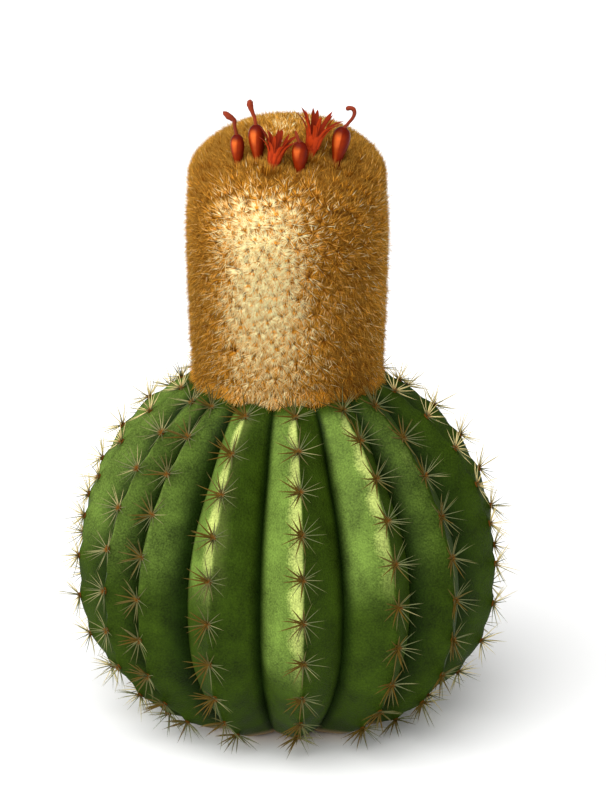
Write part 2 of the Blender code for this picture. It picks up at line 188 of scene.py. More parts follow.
# Fruits and flowers: where each stands on the crown and its sizes, in millimetres, and how it leans in
# X and Y, in degrees. A remnant is a line of (x, y, z, radius).
SOCKET_SINK = 8 * MM
FRUITS = {
    "fruit_far_left": dict(
        at=(-27.1, -36), radius=3.9, length=22, lean=(-2, -8),
        remnant=((0, 0, 0, 0.9), (-1.0, 0, 6, 0.8), (-1.2, 0, 9.5, 1.2), (-4, 0, 12, 1.7), (-7, 0, 15, 1.1)),
    ),
    "fruit_left": dict(
        at=(-15.9, -38), radius=4.7, length=25, lean=(-3, -4),
        remnant=(
            (0, 0, 0, 0.9), (-0.4, 0, 5, 0.8), (-1.8, 0, 9.5, 1.1), (-2.6, 0, 13, 1.6), (-2.4, 0, 16, 1.3),
        ),
    ),
    "fruit_middle": dict(
        at=(7, -45.2), radius=4.5, length=23, lean=(1, -14),
        remnant=((0, 0, 0, 1.0), (-1.2, 0, 3.2, 0.9), (-2.2, 0, 6.4, 0.7), (-2.6, 0, 8.2, 0.4)),
    ),
    "fruit_right": dict(
        at=(27, -34.5), radius=5.1, length=26, lean=(10, -8),
        remnant=(
            (0, 0, 0, 1.0), (2.6, 0, 4.6, 0.8), (4.6, 0, 9, 0.9), (4, 0, 12.6, 1.1), (1.2, 0, 13.2, 1.2),
            (0, 0, 11.6, 1.1),
        ),
    ),
}
FLOWERS = {
    "flower_left": dict(at=(-8.8, -46.5), tube=13.5, throat=4.5, petal=15, spread=30, lean=(12, -6), turn=10),
    "flower_right": dict(at=(11.8, -40), tube=17, throat=5, petal=17, spread=31, lean=(14, -4), turn=33),
}

# A berry's outline from its top to its foot, as shares of its radius and length, and its remnant's foot.
BERRY_OUTLINE = (
    (0.0, 1.0), (0.4, 0.98), (0.72, 0.925), (0.94, 0.83), (1.0, 0.71), (0.95, 0.58), (0.81, 0.45),
    (0.64, 0.31), (0.54, 0.18), (0.48, 0.0), (0.0, 0.0),
)
REMNANT_FOOT = 0.94

# A flower's tube, its inner whorl as shares of the outer one, and its petals.
TUBE_RADIUS = 2.8 * MM
INNER_SPREAD = 0.42
INNER_SCALE = 0.98
PETAL_WIDTH = 2.9 * MM
PETAL_THICKNESS = 0.44 * MM
PETAL_KEEL = 0.25 * MM

# Half the width of the floor.
FLOOR_HALF = 6.0


# ---------------------------------------------------------------- settings


def colour_setting(name, description, default):
    return FloatVectorProperty(
        name=name, description=description, default=default, size=3, subtype="COLOR", min=0, max=1
    )


def length_setting(name, description, millimetres):
    return FloatProperty(
        name=name, description=description, default=millimetres * MM, min=0, subtype="DISTANCE",
        unit="LENGTH", precision=4,
    )


def angle_setting(name, description, degrees):
    return FloatProperty(
        name=name, description=description, default=math.radians(degrees), subtype="ANGLE", unit="ROTATION"
    )


def count_setting(name, description, default, least, most):
    return IntProperty(name=name, description=description, default=default, min=least, max=most)


class StemSettings(bpy.types.PropertyGroup):
    columns: count_setting("Columns a rib", "Columns of faces across each rib", 20, 4, 40)
    rings: count_setting("Rings", "Rings of faces from cap to root", 150, 20, 300)
    # Painted light on the left flanks; along each crest a pale strip, part paler margin, part painted
    # highlight.
    painted_light: colour_setting("Sunny flank", "Skin on the left flank of each rib", (0.108, 0.172, 0.028))
    pale: colour_setting("Crest", "Pale skin along the left of each crest", (0.400, 0.460, 0.125))
    # Painted shade on the right flanks and in the grooves.
    painted_shade: colour_setting("Shady flank", "Skin on the right flank of each rib", (0.022, 0.042, 0.002))
    deep: colour_setting("Groove", "Skin in the grooves", (0.006, 0.015, 0.001))
    cork: colour_setting("Cork", "Corky skin round the root crown", (0.36, 0.25, 0.13))
    radials: count_setting("Radial spines", "Spines in the star of an areole", 14, 4, 40)
    spine_length: length_setting("Spine length", "Longest radial spine", 15.4)
    spine_radius: length_setting("Spine radius", "Radius of a young spine at its foot", 0.66)
    spine_root: colour_setting("Spine foot", "Foot of a spine", (0.160, 0.062, 0.006))
    spine_young: colour_setting("Young spine", "Shaft of a young spine", (0.088, 0.052, 0.006))
    spine_old: colour_setting("Old spine", "Shaft of a weathered spine", (0.110, 0.125, 0.052))
    spine_straw: colour_setting("Straw spine", "Spine at the sides and back", (0.720, 0.590, 0.260))
    spine_tip: colour_setting("Spine tip", "Tip of a spine", (0.150, 0.120, 0.035))
    felt: colour_setting("Felt", "Wool of the areole cushions", (0.190, 0.070, 0.008))


class CapSettings(bpy.types.PropertyGroup):
    tufts: count_setting("Tufts", "Tufts of bristles on the cap", 1250, 100, 3000)
    bristles: count_setting("Bristles", "Bristles in the undercoat of a tuft", 92, 14, 200)
    guards: count_setting("Guard bristles", "Pale bristles in the fan of a tuft", 26, 1, 100)
    accents: count_setting("Dark bristles", "Dark bristles at the heart of a tuft", 9, 1, 50)
    fan: angle_setting("Fan", "Angle that the bristles of a tuft fill", 230)
    bristle_length: length_setting("Bristle length", "Length of a bristle", 7.6)
    bristle_radius: length_setting("Bristle radius", "Radius of a bristle at its foot", 0.3)
    guard_radius: length_setting("Guard radius", "Radius of a guard bristle at its foot", 0.42)
    # Tufts in painted light have fewer dark bristles, and cream shafts carry the painted highlight.
    dark_share: FloatProperty(
        name="Dark share", description="Share of darker bristles in a bleached tuft", default=0.24, min=0,
        max=1, subtype="FACTOR",
    )
    depth: length_setting("Depth", "How far the bristles' feet lie below their tips", 5.8)
    root: colour_setting("Root", "Foot of a bristle", (0.140, 0.040, 0.003))
    dark: colour_setting("Dark bristle", "Shaft of a dark bristle", (0.200, 0.064, 0.003))
    gold: colour_setting("Golden bristle", "Shaft of a middling bristle", (0.860, 0.365, 0.030))
    cream: colour_setting("Cream bristle", "Shaft of a bleached bristle", (1.000, 0.930, 0.540))
    tip: colour_setting("Tip", "Tip of a bristle", (1.000, 0.620, 0.120))
    wool: colour_setting("Wool", "Wool between the bristles' feet", (0.300, 0.105, 0.014))


class BloomSettings(bpy.types.PropertyGroup):
    petals: count_setting("Petals", "Petals of a flower", 14, 5, 24)
    # Painted highlight on a fruit's lit side; painted shade at its foot, its shoulder and away from the
    # light.
    painted_highlight: colour_setting("Highlight", "Skin of a fruit where the sun reaches it", (0.640, 0.120, 0.020))
    skin: colour_setting("Fruit", "Skin of a fruit on its belly", (0.230, 0.020, 0.002))
    fruit_painted_shade: colour_setting("Fruit ends", "Skin of a fruit at its foot and shoulder", (0.100, 0.006, 0.002))
    remnant: colour_setting("Remnant", "Withered flower on a fruit", (0.200, 0.024, 0.006))
    petal: colour_setting("Petal", "Face of a petal", (0.400, 0.036, 0.005))
    # Also painted shade on a petal's inside and foot.
    petal_dark: colour_setting("Petal keel", "Keel and inside of a petal", (0.085, 0.004, 0.002))


class StageSettings(bpy.types.PropertyGroup):
    floor: colour_setting("Floor", "Colour of the floor", (0.93, 0.93, 0.925))
    elevation: angle_setting("Elevation", "Camera's angle above the horizon", 17.2)
    distance: length_setting("Distance", "From the camera to its target", 2200)
    lens: FloatProperty(
        name="Lens", description="Focal length in millimetres", default=170.7, min=20, max=500
    )
    target: FloatVectorProperty(
        name="Target", description="Point at the middle of the view", default=(0.009, 0, 0.1898), size=3,
        subtype="TRANSLATION", unit="LENGTH",
    )
    key: FloatProperty(name="Key light", description="Strength of the key light", default=4.0, min=0)
    key_azimuth: angle_setting("Key azimuth", "Where the key light stands, from the front towards +X", -32)
    key_elevation: angle_setting("Key elevation", "The key light's angle above the horizon", 44)
    key_softness: angle_setting("Key softness", "Angle that the key light fills", 78)
    sky: FloatProperty(name="Sky", description="Strength of the even light all round", default=0.58, min=0)


# ---------------------------------------------------------------- outlines


def smooth_step(x):
    """0 up to 0, 1 from 1 on, with soft ends between."""
    x = np.clip(x, 0, 1)
    return x * x * (3 - 2 * x)


def ramp(value, start, reach):
    """0 up to the start, and 1 from this reach past it on."""
    return smooth_step((value - start) / reach)


def between(value, rise, fall):
    """1 inside a zone, from its (start, reach) of rise to its (start, reach) of fall, and 0 outside it."""
    return ramp(value, *rise) * (1 - ramp(value, *fall))


def bell(offset, width, power=2):
    """1 in the middle of a zone and 0 far from it. A higher power gives it a flatter top."""
    return np.exp(-((np.abs(offset) / width) ** power))


def circle(count):
    """Angles of points spread evenly round a turn."""
    return TURN * np.arange(count) / count


def around(azimuth, radius, height):
    """Points at these azimuths, in radians, from the front towards +X."""
    azimuth, radius, height = np.broadcast_arrays(azimuth, radius, height)
    return np.stack([radius * np.sin(azimuth), -radius * np.cos(azimuth), height], axis=-1)


def unit(vectors):
    return vectors / np.maximum(np.linalg.norm(vectors, axis=-1, keepdims=True), 1e-12)


def heading(angle, first, second):
    """Directions that lie these angles, in radians, from a first one towards a second one."""
    return np.cos(angle)[..., None] * first + np.sin(angle)[..., None] * second


def wrapped(angle):
    """The same angle from -180 to 180 degrees, in radians."""
    return (angle + math.pi) % TURN - math.pi


class Outline:
    """A line of (radius, height) points, read by the distance along it."""

    def __init__(self, points):
        self.points = np.asarray(points, float)
        steps = np.linalg.norm(np.diff(self.points, axis=0), axis=1)
        self.lengths = np.concatenate([[0], np.cumsum(steps)])
        self.length = self.lengths[-1]

    def place(self, distance):
        return (np.interp(distance, self.lengths, self.points[:, i]) for i in range(2))

    def at(self, distance):
        """Radius and height there, and the outward direction as (radial, vertical)."""
        near = 0.5 * MM
        radius, height = self.place(distance)
        radius_ahead, height_ahead = self.place(np.minimum(distance + near, self.length))
        radius_behind, height_behind = self.place(np.maximum(distance - near, 0))
        outward = np.stack([height_behind - height_ahead, radius_ahead - radius_behind], axis=-1)
        return radius, height, unit(outward)


def crest_outline():
    """The stem's outline along a crest, from the shoulder down to the edge of the root crown."""
    shoulder = math.acos(SHOULDER_RADIUS / STEM_RADIUS)
    up = np.linspace(shoulder, 0, 160, endpoint=False)
    upper = np.stack([STEM_RADIUS * np.cos(up), STEM_WIDEST_AT + STEM_RISE * np.sin(up)], axis=1)
    down = np.linspace(0, math.pi / 2, 320, endpoint=False)
    power = 2 / STEM_LOWER_FULLNESS
    height = STEM_WIDEST_AT - STEM_DROP * np.sin(down) ** power
    lower = np.stack([STEM_RADIUS * np.cos(down) ** power, np.maximum(height, 0)], axis=1)
    points = np.concatenate([upper, lower])
    return Outline(points[points[:, 0] >= ROOT_CROWN_RADIUS])


def cap_outline(inset=0.0):
    """The cap's outline from its foot to the middle of its crown."""
    share = np.linspace(0, 1, 120, endpoint=False)
    waist = CAP_RADIUS - CAP_FOOT_RADIUS
    wall_radius = CAP_RADIUS - waist * ((share - CAP_WIDEST_AT) / CAP_WIDEST_AT) ** 2
    wall = np.stack([wall_radius - inset, CAP_FOOT + CAP_WALL * share], axis=1)
    top_radius = CAP_RADIUS - waist * ((1 - CAP_WIDEST_AT) / CAP_WIDEST_AT) ** 2
    a = np.linspace(0, math.pi / 2, 121)
    crown_height = CAP_FOOT + CAP_WALL + (CAP_CROWN - inset) * np.sin(a)
    crown = np.stack([(top_radius - inset) * np.cos(a), crown_height], axis=1)
    return Outline(np.concatenate([wall, crown]))


def crown_at(x, y):
    """The height of the crown's surface over a point."""
    points = cap_outline().points[::-1]
    return float(np.interp(math.hypot(x, y), points[:, 0], points[:, 1]))


def rib_height(across):
    """The height of a rib, 1 on its crest and 0 in the groove."""
    across = np.minimum(np.abs(across), 1)
    return RIB_PINCH * (1 - across) + (1 - RIB_PINCH) * np.sqrt(np.maximum(1 - across**RIB_BULGE, 0))


def groove_depth(radius, height):
    """How deep the grooves are there: none at the root crown, shallow under the cap."""
    rise = ramp(radius, SHOULDER_RADIUS, FULL_GROOVE_ABOVE - SHOULDER_RADIUS)
    upper = RIB_SHARE_AT_SHOULDER + (1 - RIB_SHARE_AT_SHOULDER) * rise
    lower = ramp(radius, ROOT_CROWN_RADIUS, FULL_GROOVE_BELOW - ROOT_CROWN_RADIUS)
    return RIB_DEPTH * np.where(height > STEM_WIDEST_AT, upper, lower)


def rib_edges():
    """(left groove, crest, right groove) of each rib, as azimuths in radians."""
    crests = np.radians(RIB_AZIMUTHS)
    before = np.roll(crests, 1)
    before[0] -= TURN
    after = np.roll(crests, -1)
    after[-1] += TURN
    return np.stack([(before + crests) / 2, crests, (crests + after) / 2], axis=1)


STEM_OUTLINE = crest_outline()
RIB_EDGES = rib_edges()
STEM_RIM = float(STEM_OUTLINE.lengths[np.argmax(STEM_OUTLINE.points[:, 1] <= 0)])


def stem_point(rib, across, distance):
    """Points of the stem's skin and their outward directions. across is -1 and 1 in the grooves."""
    left, crest, right = (RIB_EDGES[rib, i] for i in range(3))
    azimuth = crest + across * np.where(across > 0, right - crest, crest - left)
    radius, height, outward = STEM_OUTLINE.at(distance)
    sink = groove_depth(radius, height) * (1 - rib_height(across))
    direction = around(azimuth, outward[..., 0], outward[..., 1])
    return around(azimuth, radius, height) - direction * sink[..., None], direction


def shifted(distance, rib):
    """The distance of an areole, moved with the stagger of its rib and held near the ends."""
    stagger = AREOLE_STAGGER * ((rib * GOLDEN_SHARE) % 1 - 0.5)
    edge = np.minimum(distance, STEM_RIM - distance)
    return distance + stagger * ramp(edge, 0, 2 * FIRST_AREOLE_AT)


def areoles():
    """Each areole's foot on the skin, the directions out, up and sideways from it, and its azimuth."""
    rib, k = (grid.ravel() for grid in np.indices((len(RIB_AZIMUTHS), AREOLES)))
    mark = FIRST_AREOLE_AT + k * AREOLE_SPACING
    fits = mark < STEM_RIM - LAST_AREOLE_ABOVE
    rib, mark = rib[fits], mark[fits]
    distance = shifted(mark, rib)
    foot, out = stem_point(rib, 0.0, distance)
    below, _ = stem_point(rib, 0.0, distance + MM)
    up = unit(foot - below)
    foot = foot + out * skin_lift(foot, rib, np.zeros(len(rib)), distance)[:, None]
    return foot, out, up, np.cross(up, out), wrapped(RIB_EDGES[rib, 1])


def ripple(points, scale, seed):
    """A smooth value from -1 to 1 that wanders over space, with features of about this size."""
    rng = np.random.default_rng(seed)
    total = np.zeros(len(points))
    waves = 6
    for _ in range(waves):
        aim = unit(rng.normal(size=3)) * TURN / scale
        total += np.sin(points @ aim * rng.uniform(0.7, 1.4) + rng.uniform(0, TURN))
    return total / waves


# ---------------------------------------------------------------- mesh making


def place_new(name, data):
    """A new object in the scene for this data."""
    made = bpy.data.objects.new(name, data)
    bpy.context.scene.collection.objects.link(made)
    return made


class Shape:
    """Gathers points, faces and values at the points until they become one object."""

    def __init__(self):
        self.points, self.quads, self.triangles, self.values, self.count = [], [], [], {}, 0

    def add(self, points, quads=(), triangles=(), **values):
        """Adds points, faces that count from the first of them, and a value or values for each name."""
        points = np.asarray(points, float).reshape(-1, 3)
        self.points.append(points)
        self.quads.append(np.asarray(quads, int).reshape(-1, 4) + self.count)
        self.triangles.append(np.asarray(triangles, int).reshape(-1, 3) + self.count)
        for name, value in values.items():
            self.values.setdefault(name, []).append(np.broadcast_to(value, len(points)))
        self.count += len(points)

    def make(self, name, material):
        """One smooth object. Values named bake_u and bake_v become the map that the finish is baked by."""
        quads, triangles = np.concatenate(self.quads), np.concatenate(self.triangles)
        loops = np.concatenate([quads.ravel(), triangles.ravel()])
        starts = np.concatenate([np.arange(len(quads)) * 4, quads.size + np.arange(len(triangles)) * 3])
        mesh = bpy.data.meshes.new(name)
        mesh.vertices.add(self.count)
        mesh.vertices.foreach_set("co", np.concatenate(self.points).astype(np.float32).ravel())
        mesh.loops.add(len(loops))
        mesh.loops.foreach_set("vertex_index", loops.astype(np.int32))
        mesh.polygons.add(len(starts))
        mesh.polygons.foreach_set("loop_start", starts.astype(np.int32))
        mesh.update(calc_edges=True)
        values = {key: np.concatenate(parts).astype(np.float32) for key, parts in self.values.items()}
        if "bake_u" in values:
            layer = mesh.uv_layers.new(name=BAKE_MAP)
            pairs = np.stack([values.pop("bake_u")[loops], values.pop("bake_v")[loops]], axis=1)
            layer.data.foreach_set("uv", pairs.ravel())
        for key, value in values.items():
            mesh.attributes.new(key, "FLOAT", "POINT").data.foreach_set("value", value)
        mesh.shade_smooth()
        mesh.materials.append(material)
        return place_new(name, mesh)


def grid_quads(rows, columns, wrap=False):
    """Quads between rows of points, with the last column joined to the first where it wraps."""
    row, column = np.meshgrid(np.arange(rows - 1), np.arange(columns if wrap else columns - 1), indexing="ij")
    across = (column + 1) % columns
    here, below = row * columns, (row + 1) * columns
    return np.stack([here + column, below + column, below + across, here + across], axis=-1).reshape(-1, 4)


def last_row(rows, columns):
    """The points of the last row of a grid."""
    return (rows - 1) * columns + np.arange(columns)


def close_ring(centre, ring, reverse=False):
    """Triangles from one point to each pair of neighbours in a closed ring."""
    after = np.roll(ring, -1)
    pair = (after, ring) if reverse else (ring, after)
    return np.stack([np.full(len(ring), centre), *pair], axis=1)


def add_hairs(shape, roots, aims, lengths, radii, shades, curls=None, sides=3, steps=2, taper=0.8):
    """Adds tapered hairs with open feet. Each bends by its curl, which is how far its tip is carried."""
    count = len(roots)
    along = np.linspace(0, 1, steps + 1)
    line = roots[:, None] + aims[:, None] * (lengths[:, None] * along)[..., None]
    if curls is not None:
        line = line + curls[:, None] * (along**2)[None, :, None]
    upright = np.abs(aims[:, 2:3]) >= 0.9
    side = unit(np.cross(np.where(upright, [[1.0, 0.0, 0.0]], [[0.0, 0.0, 1.0]]), aims))
    other = np.cross(aims, side)
    ring = heading(circle(sides), side[:, None], other[:, None])
    width = np.broadcast_to(radii, count)[:, None] * (1 - along[:-1])[None] ** taper
    skin = line[:, :-1, None] + ring[:, None] * width[:, :, None, None]
    points = np.concatenate([skin.reshape(count, steps * sides, 3), line[:, -1:]], axis=1)
    each = steps * sides + 1
    starts = (np.arange(count) * each)[:, None, None]
    quads = grid_quads(steps, sides, wrap=True)[:, [0, 3, 2, 1]]
    tips = np.roll(close_ring(each - 1, last_row(steps, sides)), -1, axis=1)
    heights = np.concatenate([np.repeat(along[:-1], sides), [1.0]])
    spread = np.zeros(each)
    spread[0:-1:sides], spread[1:-1:sides] = -1.0, 1.0
    inside = 1 - 2 * BAKE_BORDER
    heights, shades = np.tile(heights, count), np.repeat(shades, each)
    picks = np.clip(shades + BAKE_HAIR * np.tile(spread, count), 0, 1)
    shape.add(
        points,
        (quads[None] + starts).reshape(-1, 4),
        (tips[None] + starts).reshape(-1, 3),
        along=heights,
        shade=shades,
        bake_u=BAKE_BORDER + inside * picks,
        bake_v=BAKE_BORDER + inside * heights,
    )


def dress(piece, slot, *nodes):
    """Puts a piece on the plant's body, and hides the solids that it stands for."""
    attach(piece, "root")
    if nodes:
        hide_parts(*nodes)


# ---------------------------------------------------------------- material making


class Nodes:
    """Short calls for building one node tree."""

    def __init__(self, tree):
        self.tree = tree

    def add(self, kind, **settings):
        made = self.tree.nodes.new(kind)
        for key, value in settings.items():
            setattr(made, key, value)
        return made

    def link(self, source, target):
        self.tree.links.new(source, target)

    def value(self, source, target):
        """Feeds a socket from another socket, or sets it to a plain value."""
        if isinstance(source, bpy.types.NodeSocket):
            self.link(source, target)
        else:
            target.default_value = source

    def colour(self, source, target):
        """Feeds a colour socket from another socket, or sets it to plain red, green and blue."""
        self.value(source if isinstance(source, bpy.types.NodeSocket) else (*source, 1), target)

    def attributes(self, *names):
        return [self.add("ShaderNodeAttribute", attribute_name=name).outputs["Fac"] for name in names]

    def math(self, operation, a, b=0.0):
        made = self.add("ShaderNodeMath", operation=operation)
        self.value(a, made.inputs[0])
        self.value(b, made.inputs[1])
        return made.outputs[0]

    def plus(self, a, b):
        return self.math("ADD", a, b)

    def less(self, a, b):
        return self.math("SUBTRACT", a, b)

    def times(self, a, b):
        return self.math("MULTIPLY", a, b)

    def most(self, a, b):
        return self.math("MAXIMUM", a, b)

    def span(self, source, low, high, to_low=0.0, to_high=1.0):
        """Maps a range of values to another with soft ends."""
        made = self.add("ShaderNodeMapRange", interpolation_type="SMOOTHSTEP")
        self.value(source, made.inputs["Value"])
        for key, number in (("From Min", low), ("From Max", high), ("To Min", to_low), ("To Max", to_high)):
            self.value(number, made.inputs[key])
        return made.outputs["Result"]

    def mix(self, share, a, b):
        made = self.add("ShaderNodeMix", data_type="RGBA")
        self.value(share, made.inputs[0])
        self.colour(a, made.inputs[6])
        self.colour(b, made.inputs[7])
        return made.outputs[2]

    def scale(self, colour, factor):
        made = self.add("ShaderNodeVectorMath", operation="SCALE")
        self.link(colour, made.inputs[0])
        self.link(factor, made.inputs["Scale"])
        return made.outputs[0]

    def plain(self, colour):
        made = self.add("ShaderNodeRGB")
        self.colour(colour, made.outputs[0])
        return made.outputs[0]

    def group(self, group, **inputs):
        made = self.add("ShaderNodeGroup")
        made.node_tree = group
        for key, source in inputs.items():
            self.value(source, made.inputs[key.replace("_", " ").capitalize()])
        return made


def shader_group(name, inputs, outputs):
    """A new shader node group with these sockets and its nodes, or the one made before and None."""
    if name in bpy.data.node_groups:
        return bpy.data.node_groups[name], None
    made = bpy.data.node_groups.new(name, "ShaderNodeTree")
    for label, kind, default in inputs:
        socket = made.interface.new_socket(name=label, in_out="INPUT", socket_type=kind)
        socket.default_value = default
    for label, kind in outputs:
        made.interface.new_socket(name=label, in_out="OUTPUT", socket_type=kind)
    return made, Nodes(made)


def mottle_group():
    """Uneven pigment: large soft patches and fine stipple, as one value round 1."""
    made, nodes = shader_group(
        "Mottle",
        [
            ("Patch size", "NodeSocketFloat", 12.0),
            ("Patch strength", "NodeSocketFloat", 0.2),
            ("Stipple size", "NodeSocketFloat", 1.0),
            ("Stipple strength", "NodeSocketFloat", 0.2),
        ],
        [("Value", "NodeSocketFloat"), ("Height", "NodeSocketFloat")],
    )
    if nodes is None:
        return made
    entry, leave = nodes.add("NodeGroupInput"), nodes.add("NodeGroupOutput")
    place = nodes.add("ShaderNodeTexCoord").outputs["Object"]
    fields = []
    for key, detail in (("Patch", 3.0), ("Stipple", 2.0)):
        noise = nodes.add("ShaderNodeTexNoise")
        nodes.link(place, noise.inputs["Vector"])
        nodes.link(nodes.math("DIVIDE", 1 / MM, entry.outputs[f"{key} size"]), noise.inputs["Scale"])
        noise.inputs["Detail"].default_value = detail
        swing = nodes.less(noise.outputs["Fac"], 0.5)
        fields.append(nodes.times(swing, entry.outputs[f"{key} strength"]))
    total = nodes.plus(fields[0], fields[1])
    nodes.link(nodes.plus(total, 1.0), leave.inputs["Value"])
    nodes.link(fields[1], leave.inputs["Height"])
    return made


FIBRE_COLOURS = ("Root", "Dark", "Middle", "Pale", "Tip")


def fibre_group():
    """A hair's colour from foot to tip, where the shade of each hair picks its shaft from dark to pale."""
    made, nodes = shader_group(
        "Fibre",
        [(label, "NodeSocketColor", (0.5, 0.5, 0.5, 1)) for label in FIBRE_COLOURS]
        + [("Tip share", "NodeSocketFloat", 0.5), ("Root end", "NodeSocketFloat", 0.6)],
        [("Color", "NodeSocketColor")],
    )
    if nodes is None:
        return made
    entry, leave = nodes.add("NodeGroupInput").outputs, nodes.add("NodeGroupOutput")
    along, shade = nodes.attributes("along", "shade")
    darker = nodes.mix(nodes.span(shade, 0.0, 0.5), entry["Dark"], entry["Middle"])
    shaft = nodes.mix(nodes.span(shade, 0.5, 1.0), darker, entry["Pale"])
    tipping = nodes.times(nodes.span(along, 0.5, 1.0), entry["Tip share"])
    tipped = nodes.mix(tipping, shaft, entry["Tip"])
    rise = nodes.plus(along, nodes.times(shade, 0.22))
    rooting = nodes.times(nodes.span(rise, entry["Root end"], 0.08), nodes.span(shade, 0.0, 0.3, 0.45, 1.0))
    nodes.link(nodes.mix(rooting, tipped, entry["Root"]), leave.inputs["Color"])
    return made


def new_material(name, roughness, **settings):
    """A material's nodes and its Principled shader, with plain values on the shader's own sockets."""
    made = bpy.data.materials.new(name)
    made.use_nodes = True
    shader = made.node_tree.nodes["Principled BSDF"]
    shader.inputs["Roughness"].default_value = roughness
    for key, number in settings.items():
        shader.inputs[key.replace("_", " ")].default_value = number
    return made, Nodes(made.node_tree), shader


def bump(nodes, shader, height, distance):
    made = nodes.add("ShaderNodeBump")
    made.inputs["Distance"].default_value = distance
    made.inputs["Strength"].default_value = 1.0
    nodes.link(height, made.inputs["Height"])
    nodes.link(made.outputs[0], shader.inputs["Normal"])


def mottle(nodes, patch, stipple):
    """The mottle group's outputs, for patches and stipple that are each given as (size in mm, strength)."""
    sizes = dict(patch_size=patch[0], stipple_size=stipple[0])
    strengths = dict(patch_strength=patch[1], stipple_strength=stipple[1])
    return nodes.group(mottle_group(), **sizes, **strengths).outputs


def break_up(nodes, shader, colour, patch, stipple, relief=0.0):
    """Gives a shader this colour, broken by patches and stipple, and stands the stipple out by the relief."""
    field = mottle(nodes, patch, stipple)
    nodes.link(nodes.scale(colour, field["Value"]), shader.inputs["Base Color"])
    if relief:
        bump(nodes, shader, field["Height"], relief)


def once(name, make, look):
    """The material of this name, made when it is first asked for."""
    return bpy.data.materials.get(name) or make(look)


def skin_material(look):
    """Waxy green skin: painted light and shade on the ribs, painted shade in the grooves, cork at the root.
    """
    made, nodes, shader = new_material("cactus_skin", 0.5, Specular_IOR_Level=0.04)
    across, height, fall, sun, star, aside, left = nodes.attributes(
        "across", "height", "fall", "sun", "star", "aside", "left"
    )
    field = mottle(nodes, patch=(15.0, 1.4), stipple=(1.0, 1.4))
    swing = nodes.less(field["Value"], 1.0)
    # The strip below moves to the right at each areole, and its edges wander with the mottle.
    narrowed = nodes.less(across, nodes.times(star, 0.12))
    edge = nodes.plus(narrowed, nodes.times(swing, 0.14))
    # The flanks take painted light where they face the light, and painted shade on their right.
    away = nodes.times(nodes.span(across, -0.05, 0.08, 0.0, 0.3), nodes.span(left, 1.0, 0.0))
    turned = nodes.less(sun, away)
    lit = nodes.span(nodes.plus(turned, nodes.times(swing, 0.12)), 0.1, 0.86)
    flank = nodes.mix(lit, look.painted_shade, look.painted_light)
    # A pale strip, part paler margin, part painted highlight, runs left of each lit crest, fainter on its
    # right.
    strip = nodes.times(nodes.span(edge, -0.4, -0.14), nodes.span(across, 0.03, 0.0))
    rise = nodes.times(nodes.span(edge, 0.35, 0.0), nodes.span(across, 0.0, 0.03, 0.0, 0.4))
    strip = nodes.times(nodes.plus(strip, rise), nodes.span(sun, 0.3, 0.85))
    # It fades down the rib and on the left side; painted shade takes the flanks low down and under the cap.
    faded = nodes.times(fall, nodes.span(left, 1.0, 0.0, 0.12, 0.92))
    crested = nodes.mix(nodes.times(strip, faded), flank, look.pale)
    shaded_ends = nodes.mix(nodes.span(fall, 0.7, 0.0, 0.0, 0.95), crested, look.painted_shade)
    # Painted shade darkens the grooves, wider on the ribs that are turned aside.
    groove = nodes.span(nodes.math("ABSOLUTE", across), nodes.span(aside, 0.0, 1.0, 0.74, 0.3), 1.0)
    green = nodes.mix(groove, shaded_ends, look.deep)
    stippled = nodes.scale(green, field["Value"])
    corky = nodes.mix(nodes.span(height, CORK_FROM, CORK_FULL), stippled, look.cork)
    nodes.link(corky, shader.inputs["Base Color"])
    nodes.link(nodes.span(field["Value"], 0.6, 1.4, 0.42, 0.62), shader.inputs["Roughness"])
    bump(nodes, shader, field["Height"], 0.3 * MM)
    return made


def fibre_material(name, colours, tip_share, root_end=0.6, roughness=0.75, specular=0.06):
    """A finish for hairs, from the colours of their roots, dark, middling and pale shafts, and tips."""
    made, nodes, shader = new_material(name, roughness, Specular_IOR_Level=specular)
    inputs = {key: (*colour, 1) for key, colour in zip(FIBRE_COLOURS, colours)}
    fibre = nodes.group(fibre_group(), **inputs, tip_share=tip_share, root_end=root_end)
    nodes.link(fibre.outputs["Color"], shader.inputs["Base Color"])
    return made


def bristle_material(look):
    """Dry bristles: dark, golden or cream shafts on dark roots."""
    colours = (look.root, look.dark, look.gold, look.cream, look.tip)
    return fibre_material("cap_bristles", colours, 0.35, 0.55, specular=0.02)


def wool_material(look):
    """Felted wool under the bristles, paler where the cap carries painted light."""
    made, nodes, shader = new_material("cap_wool", 0.95, Specular_IOR_Level=0.1)
    painted_lit = nodes.times(nodes.span(*nodes.attributes("shade"), 0.45, 1.0), 0.7)
    tone = nodes.mix(painted_lit, look.wool, look.gold)
    break_up(nodes, shader, tone, patch=(9.0, 0.6), stipple=(1.2, 1.2), relief=0.4 * MM)
    return made


def berry_material(look):
    """Taut glossy skin, orange-red on the belly, with a painted highlight, and painted shade at foot and
    shoulder.
    """
    made, nodes, shader = new_material("fruit_skin", 0.25, Specular_IOR_Level=0.04)
    along, sun = nodes.attributes("along", "sun")
    # Painted shade darkens the foot, the shoulder and the side away from the light; a painted highlight lies
    # on the lit side.
    belly = nodes.times(nodes.span(along, 0.1, 0.45, 0.4, 1.0), nodes.span(along, 0.97, 0.78))
    painted_light = nodes.mix(nodes.span(sun, 0.8, 1.0), look.skin, look.painted_highlight)
    skin = nodes.mix(nodes.times(belly, nodes.span(sun, 0.25, 0.9, 0.05, 1.0)), look.fruit_painted_shade, painted_light)
    break_up(nodes, shader, skin, patch=(3.0, 0.6), stipple=(0.5, 0.25), relief=0.12 * MM)
    return made


def remnant_material(look):
    """Dry dark red, broken by patches, with a fine grain in relief."""
    made, nodes, shader = new_material("remnant", 0.55, Specular_IOR_Level=0.15)
    break_up(nodes, shader, nodes.plain(look.remnant), patch=(9.0, 1.2), stipple=(0.7, 0.8), relief=0.25 * MM)
    return made


